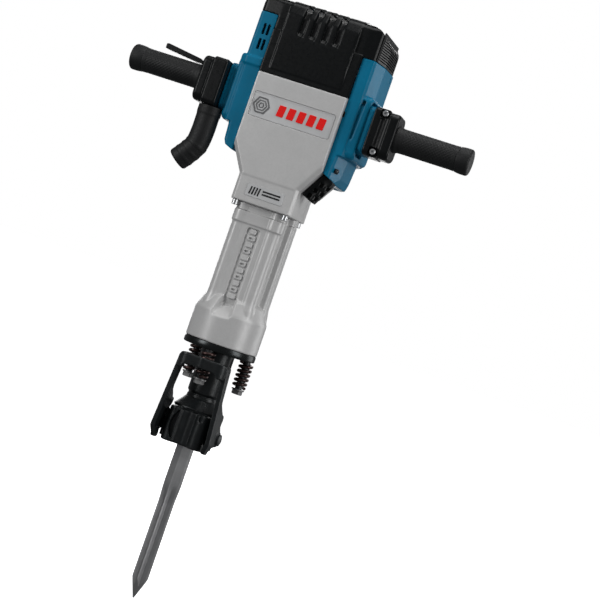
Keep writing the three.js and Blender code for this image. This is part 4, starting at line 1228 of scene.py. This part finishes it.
def make_grip(name, side):
    """Rubber sleeve with a diamond knurl, a flared end and a seam near the end."""
    node = f"grip_{name}"
    low, high = span(node)
    y, z = (low.y + high.y) / 2, (low.z + high.z) / 2
    near, far = 183.3, 317.0
    base = 21.5
    sections = []
    steps, count, diamonds, diamond_length = 176, 190, 44, 3.07
    for i in range(count + 1):
        x = near + (far - near) * i / count
        radius = base + 2.0 * (1 - ease(near, near + 9, x)) + 1.6 * ease(far - 30, far - 12, x)
        end = far - x
        if end < 5:
            radius -= 5.0 - math.sqrt(max(25 - (5 - end) ** 2, 0))
        seam = 0.7 if abs(x - (far - 24)) < 0.9 else 0.0
        ring = []
        band = ease(near + 12, near + 15, x) * (1 - ease(far - 32, far - 29, x))
        for k in range(steps):
            angle = 2 * math.pi * k / steps
            around = angle / (2 * math.pi) * diamonds
            along = x / diamond_length
            knurl = abs(math.sin(math.pi * (around + along) / 2))
            knurl *= abs(math.sin(math.pi * (around - along) / 2))
            r = radius - seam - 0.55 * band * (1 - knurl)
            ring.append((side * x, y + r * math.cos(angle), z + r * math.sin(angle)))
        sections.append(ring)
    finish_piece(loft(sections), node, angle=50)


def make_switch_lever():
    low, high = span("switch_lever")
    profile = rounded([(-189, 918.4), (-189, 924), (-194, 926), (-259, 935), (-263.2, 934), (-263.2, 925.6),
                       (-258, 924.8), (-205, 918.5)], [1, 2, 6, 2, 1.5, 1.5, 4, 4], 5)
    narrow = inset(profile, 0.9)
    lever = layers("y", [(narrow, low.y), (profile, low.y + 1.2), (profile, high.y - 1.2), (narrow, high.y)])
    ridges = []
    for k in range(7):
        x = -214 - 6 * k
        top = 926 + (-194 - x) * 9 / 65
        ridges.append(rod("y", 0.9, low.y + 2.5, high.y - 2.5, x, top + 0.5, 16))
    cut(lever, *ridges)
    finish_piece(lever, "switch_lever")


def make_cable_boot():
    top = span("grip_block_left")[0].z - 0.3
    knots = [Vector(p) for p in ((-149, -34, top), (-149, -34, 832), (-149, -34, 806), (-152, -34, 782),
                                 (-163, -34, 763), (-177, -34, 745))]
    path = []
    knots = [knots[0] * 2 - knots[1]] + knots + [knots[-1] * 2 - knots[-2]]
    for i in range(1, len(knots) - 2):
        p0, p1, p2, p3 = knots[i - 1:i + 3]
        for k in range(16):
            t = k / 16
            path.append(0.5 * (2 * p1 + (p2 - p0) * t + (2 * p0 - 5 * p1 + 4 * p2 - p3) * t * t
                               + (3 * p1 - p0 - 3 * p2 + p3) * t ** 3))
    path.append(knots[-2])
    lengths = [0.0]
    for a, b in zip(path, path[1:]):
        lengths.append(lengths[-1] + (b - a).length)
    total = lengths[-1]
    radii = []
    for s in lengths:
        radius = 20.5 + 1.0 * (1 - ease(13, 18, s))
        for centre in (0.62, 0.74, 0.86):
            radius += 0.7 * (1 - ease(1.5, 3.2, abs(s - centre * total)))
        radius -= 2.0 * ease(total - 3, total, s)
        radii.append(radius)
    boot = moulded(tube(path, radii, 48), 1.0, 3)
    end = path[-1]
    ahead = (path[-1] - path[-2]).normalized()
    bore = [end - ahead * 60 + Vector((6, 0, 18)), end - ahead * 34 + Vector((2, 0, 5)),
            end - ahead * 16, end, end + ahead * 6]
    cut(boot, tube(bore, [6.5] * len(bore), 32))
    mouth = [end - ahead * 1.2, end + ahead * 6]
    cut(boot, tube(mouth, [9.5, 10.5], 40))
    finish_piece(boot, "cable_boot")


# ---- stage, light and camera
def plain_material(name, colour, roughness):
    look = Look(name)
    look.set("Base Color", look.tinted(look.noise(3, 2), colour, 0.99, 1.01))
    look.set("Roughness", roughness)
    look.set("Emission Color", (*colour, 1))
    look.set("Emission Strength", 1.0)
    return look.material


def make_floor():
    half = 30000.0
    corners = [(x, y, 0) for x, y in rectangle(-half, half, -half, half)]
    floor = mesh_object(corners, [[0, 1, 2, 3]], "studio_floor")
    floor.data.materials.append(plain_material("pale_floor", (0.93, 0.93, 0.93), 0.9))
    floor.visible_diffuse = False
    floor.visible_glossy = False


def area_light(name, place, aim, size, power):
    data = bpy.data.lights.new(name, "AREA")
    data.shape = "RECTANGLE"
    data.size, data.size_y = size
    data.energy = power
    light = add_object(name, data)
    light.location = Vector(place) * MM
    light.rotation_euler = (Vector(aim) - Vector(place)).to_track_quat("-Z", "Y").to_euler()


def make_world():
    """White to the camera, and dimmer as a light, so that the soft lights shape the machine."""
    world = bpy.data.worlds.new("studio")
    bpy.context.scene.world = world
    world.use_nodes = True
    tree = world.node_tree
    dim = tree.nodes["Background"]
    dim.inputs["Color"].default_value = (0.95, 0.97, 1, 1)
    dim.inputs["Strength"].default_value = 0.13
    white = tree.nodes.new("ShaderNodeBackground")
    white.inputs["Color"].default_value = (1, 1, 1, 1)
    white.inputs["Strength"].default_value = 1.0
    choice = tree.nodes.new("ShaderNodeMixShader")
    rays = tree.nodes.new("ShaderNodeLightPath")
    tree.links.new(rays.outputs["Is Camera Ray"], choice.inputs["Fac"])
    tree.links.new(dim.outputs["Background"], choice.inputs[1])
    tree.links.new(white.outputs["Background"], choice.inputs[2])
    tree.links.new(choice.outputs["Shader"], tree.nodes["World Output"].inputs["Surface"])


def make_lights():
    middle = (0, 0, 650)
    area_light("key_right", (2500, -800, 1250), middle, (1.1, 2.4), 32)
    area_light("front_left", (-1900, -2000, 1500), middle, (0.9, 2.2), 36)
    area_light("top", (200, -300, 2900), middle, (1.6, 1.6), 24)
    area_light("back", (-900, 2600, 1500), middle, (2.0, 2.2), 44)
    area_light("back_right", (1900, 2000, 900), middle, (1.2, 2.0), 14)
    bpy.context.scene.view_settings.view_transform = "Standard"


def make_camera():
    """The camera stands level with the middle of the machine, 14 degrees to its right, and is rolled."""
    turn, roll = math.radians(14), math.radians(19.2)
    distance, aim_across, aim_height = 3000.0, 104.1, 584.6
    across = Vector((math.cos(turn), math.sin(turn), 0))
    ahead = Vector((-math.sin(turn), math.cos(turn), 0))
    up = Vector((0, 0, 1))
    target = across * aim_across + up * aim_height
    place = target - ahead * distance
    x_axis = across * math.cos(roll) + up * math.sin(roll)
    y_axis = up * math.cos(roll) - across * math.sin(roll)
    data = bpy.data.cameras.new("camera")
    data.sensor_width = 36
    data.lens = 103.4
    camera = add_object("camera", data)
    turned = Matrix((x_axis, y_axis, -ahead)).transposed().to_4x4()
    camera.matrix_world = Matrix.Translation(place * MM) @ turned
    bpy.context.scene.camera = camera


# ---- the whole object
make_camera()
make_world()
make_lights()
make_floor()
dress_cad_nodes()
make_chisel()
make_tool_holder()
make_bail()
make_locking_pin()
make_flange()
make_bolts_and_springs()
make_hammer_tube()
make_channel_marks()
make_gear_housing()
make_neck_screws()
make_badge()
make_type_plate()
make_hood()
for side_name, side_sign in SIDES.items():
    make_shell(side_name, side_sign)
    make_handle(side_name, side_sign)
make_shell_latch()
make_grille()
make_rear_cover()
make_switch_lever()
make_cable_boot()
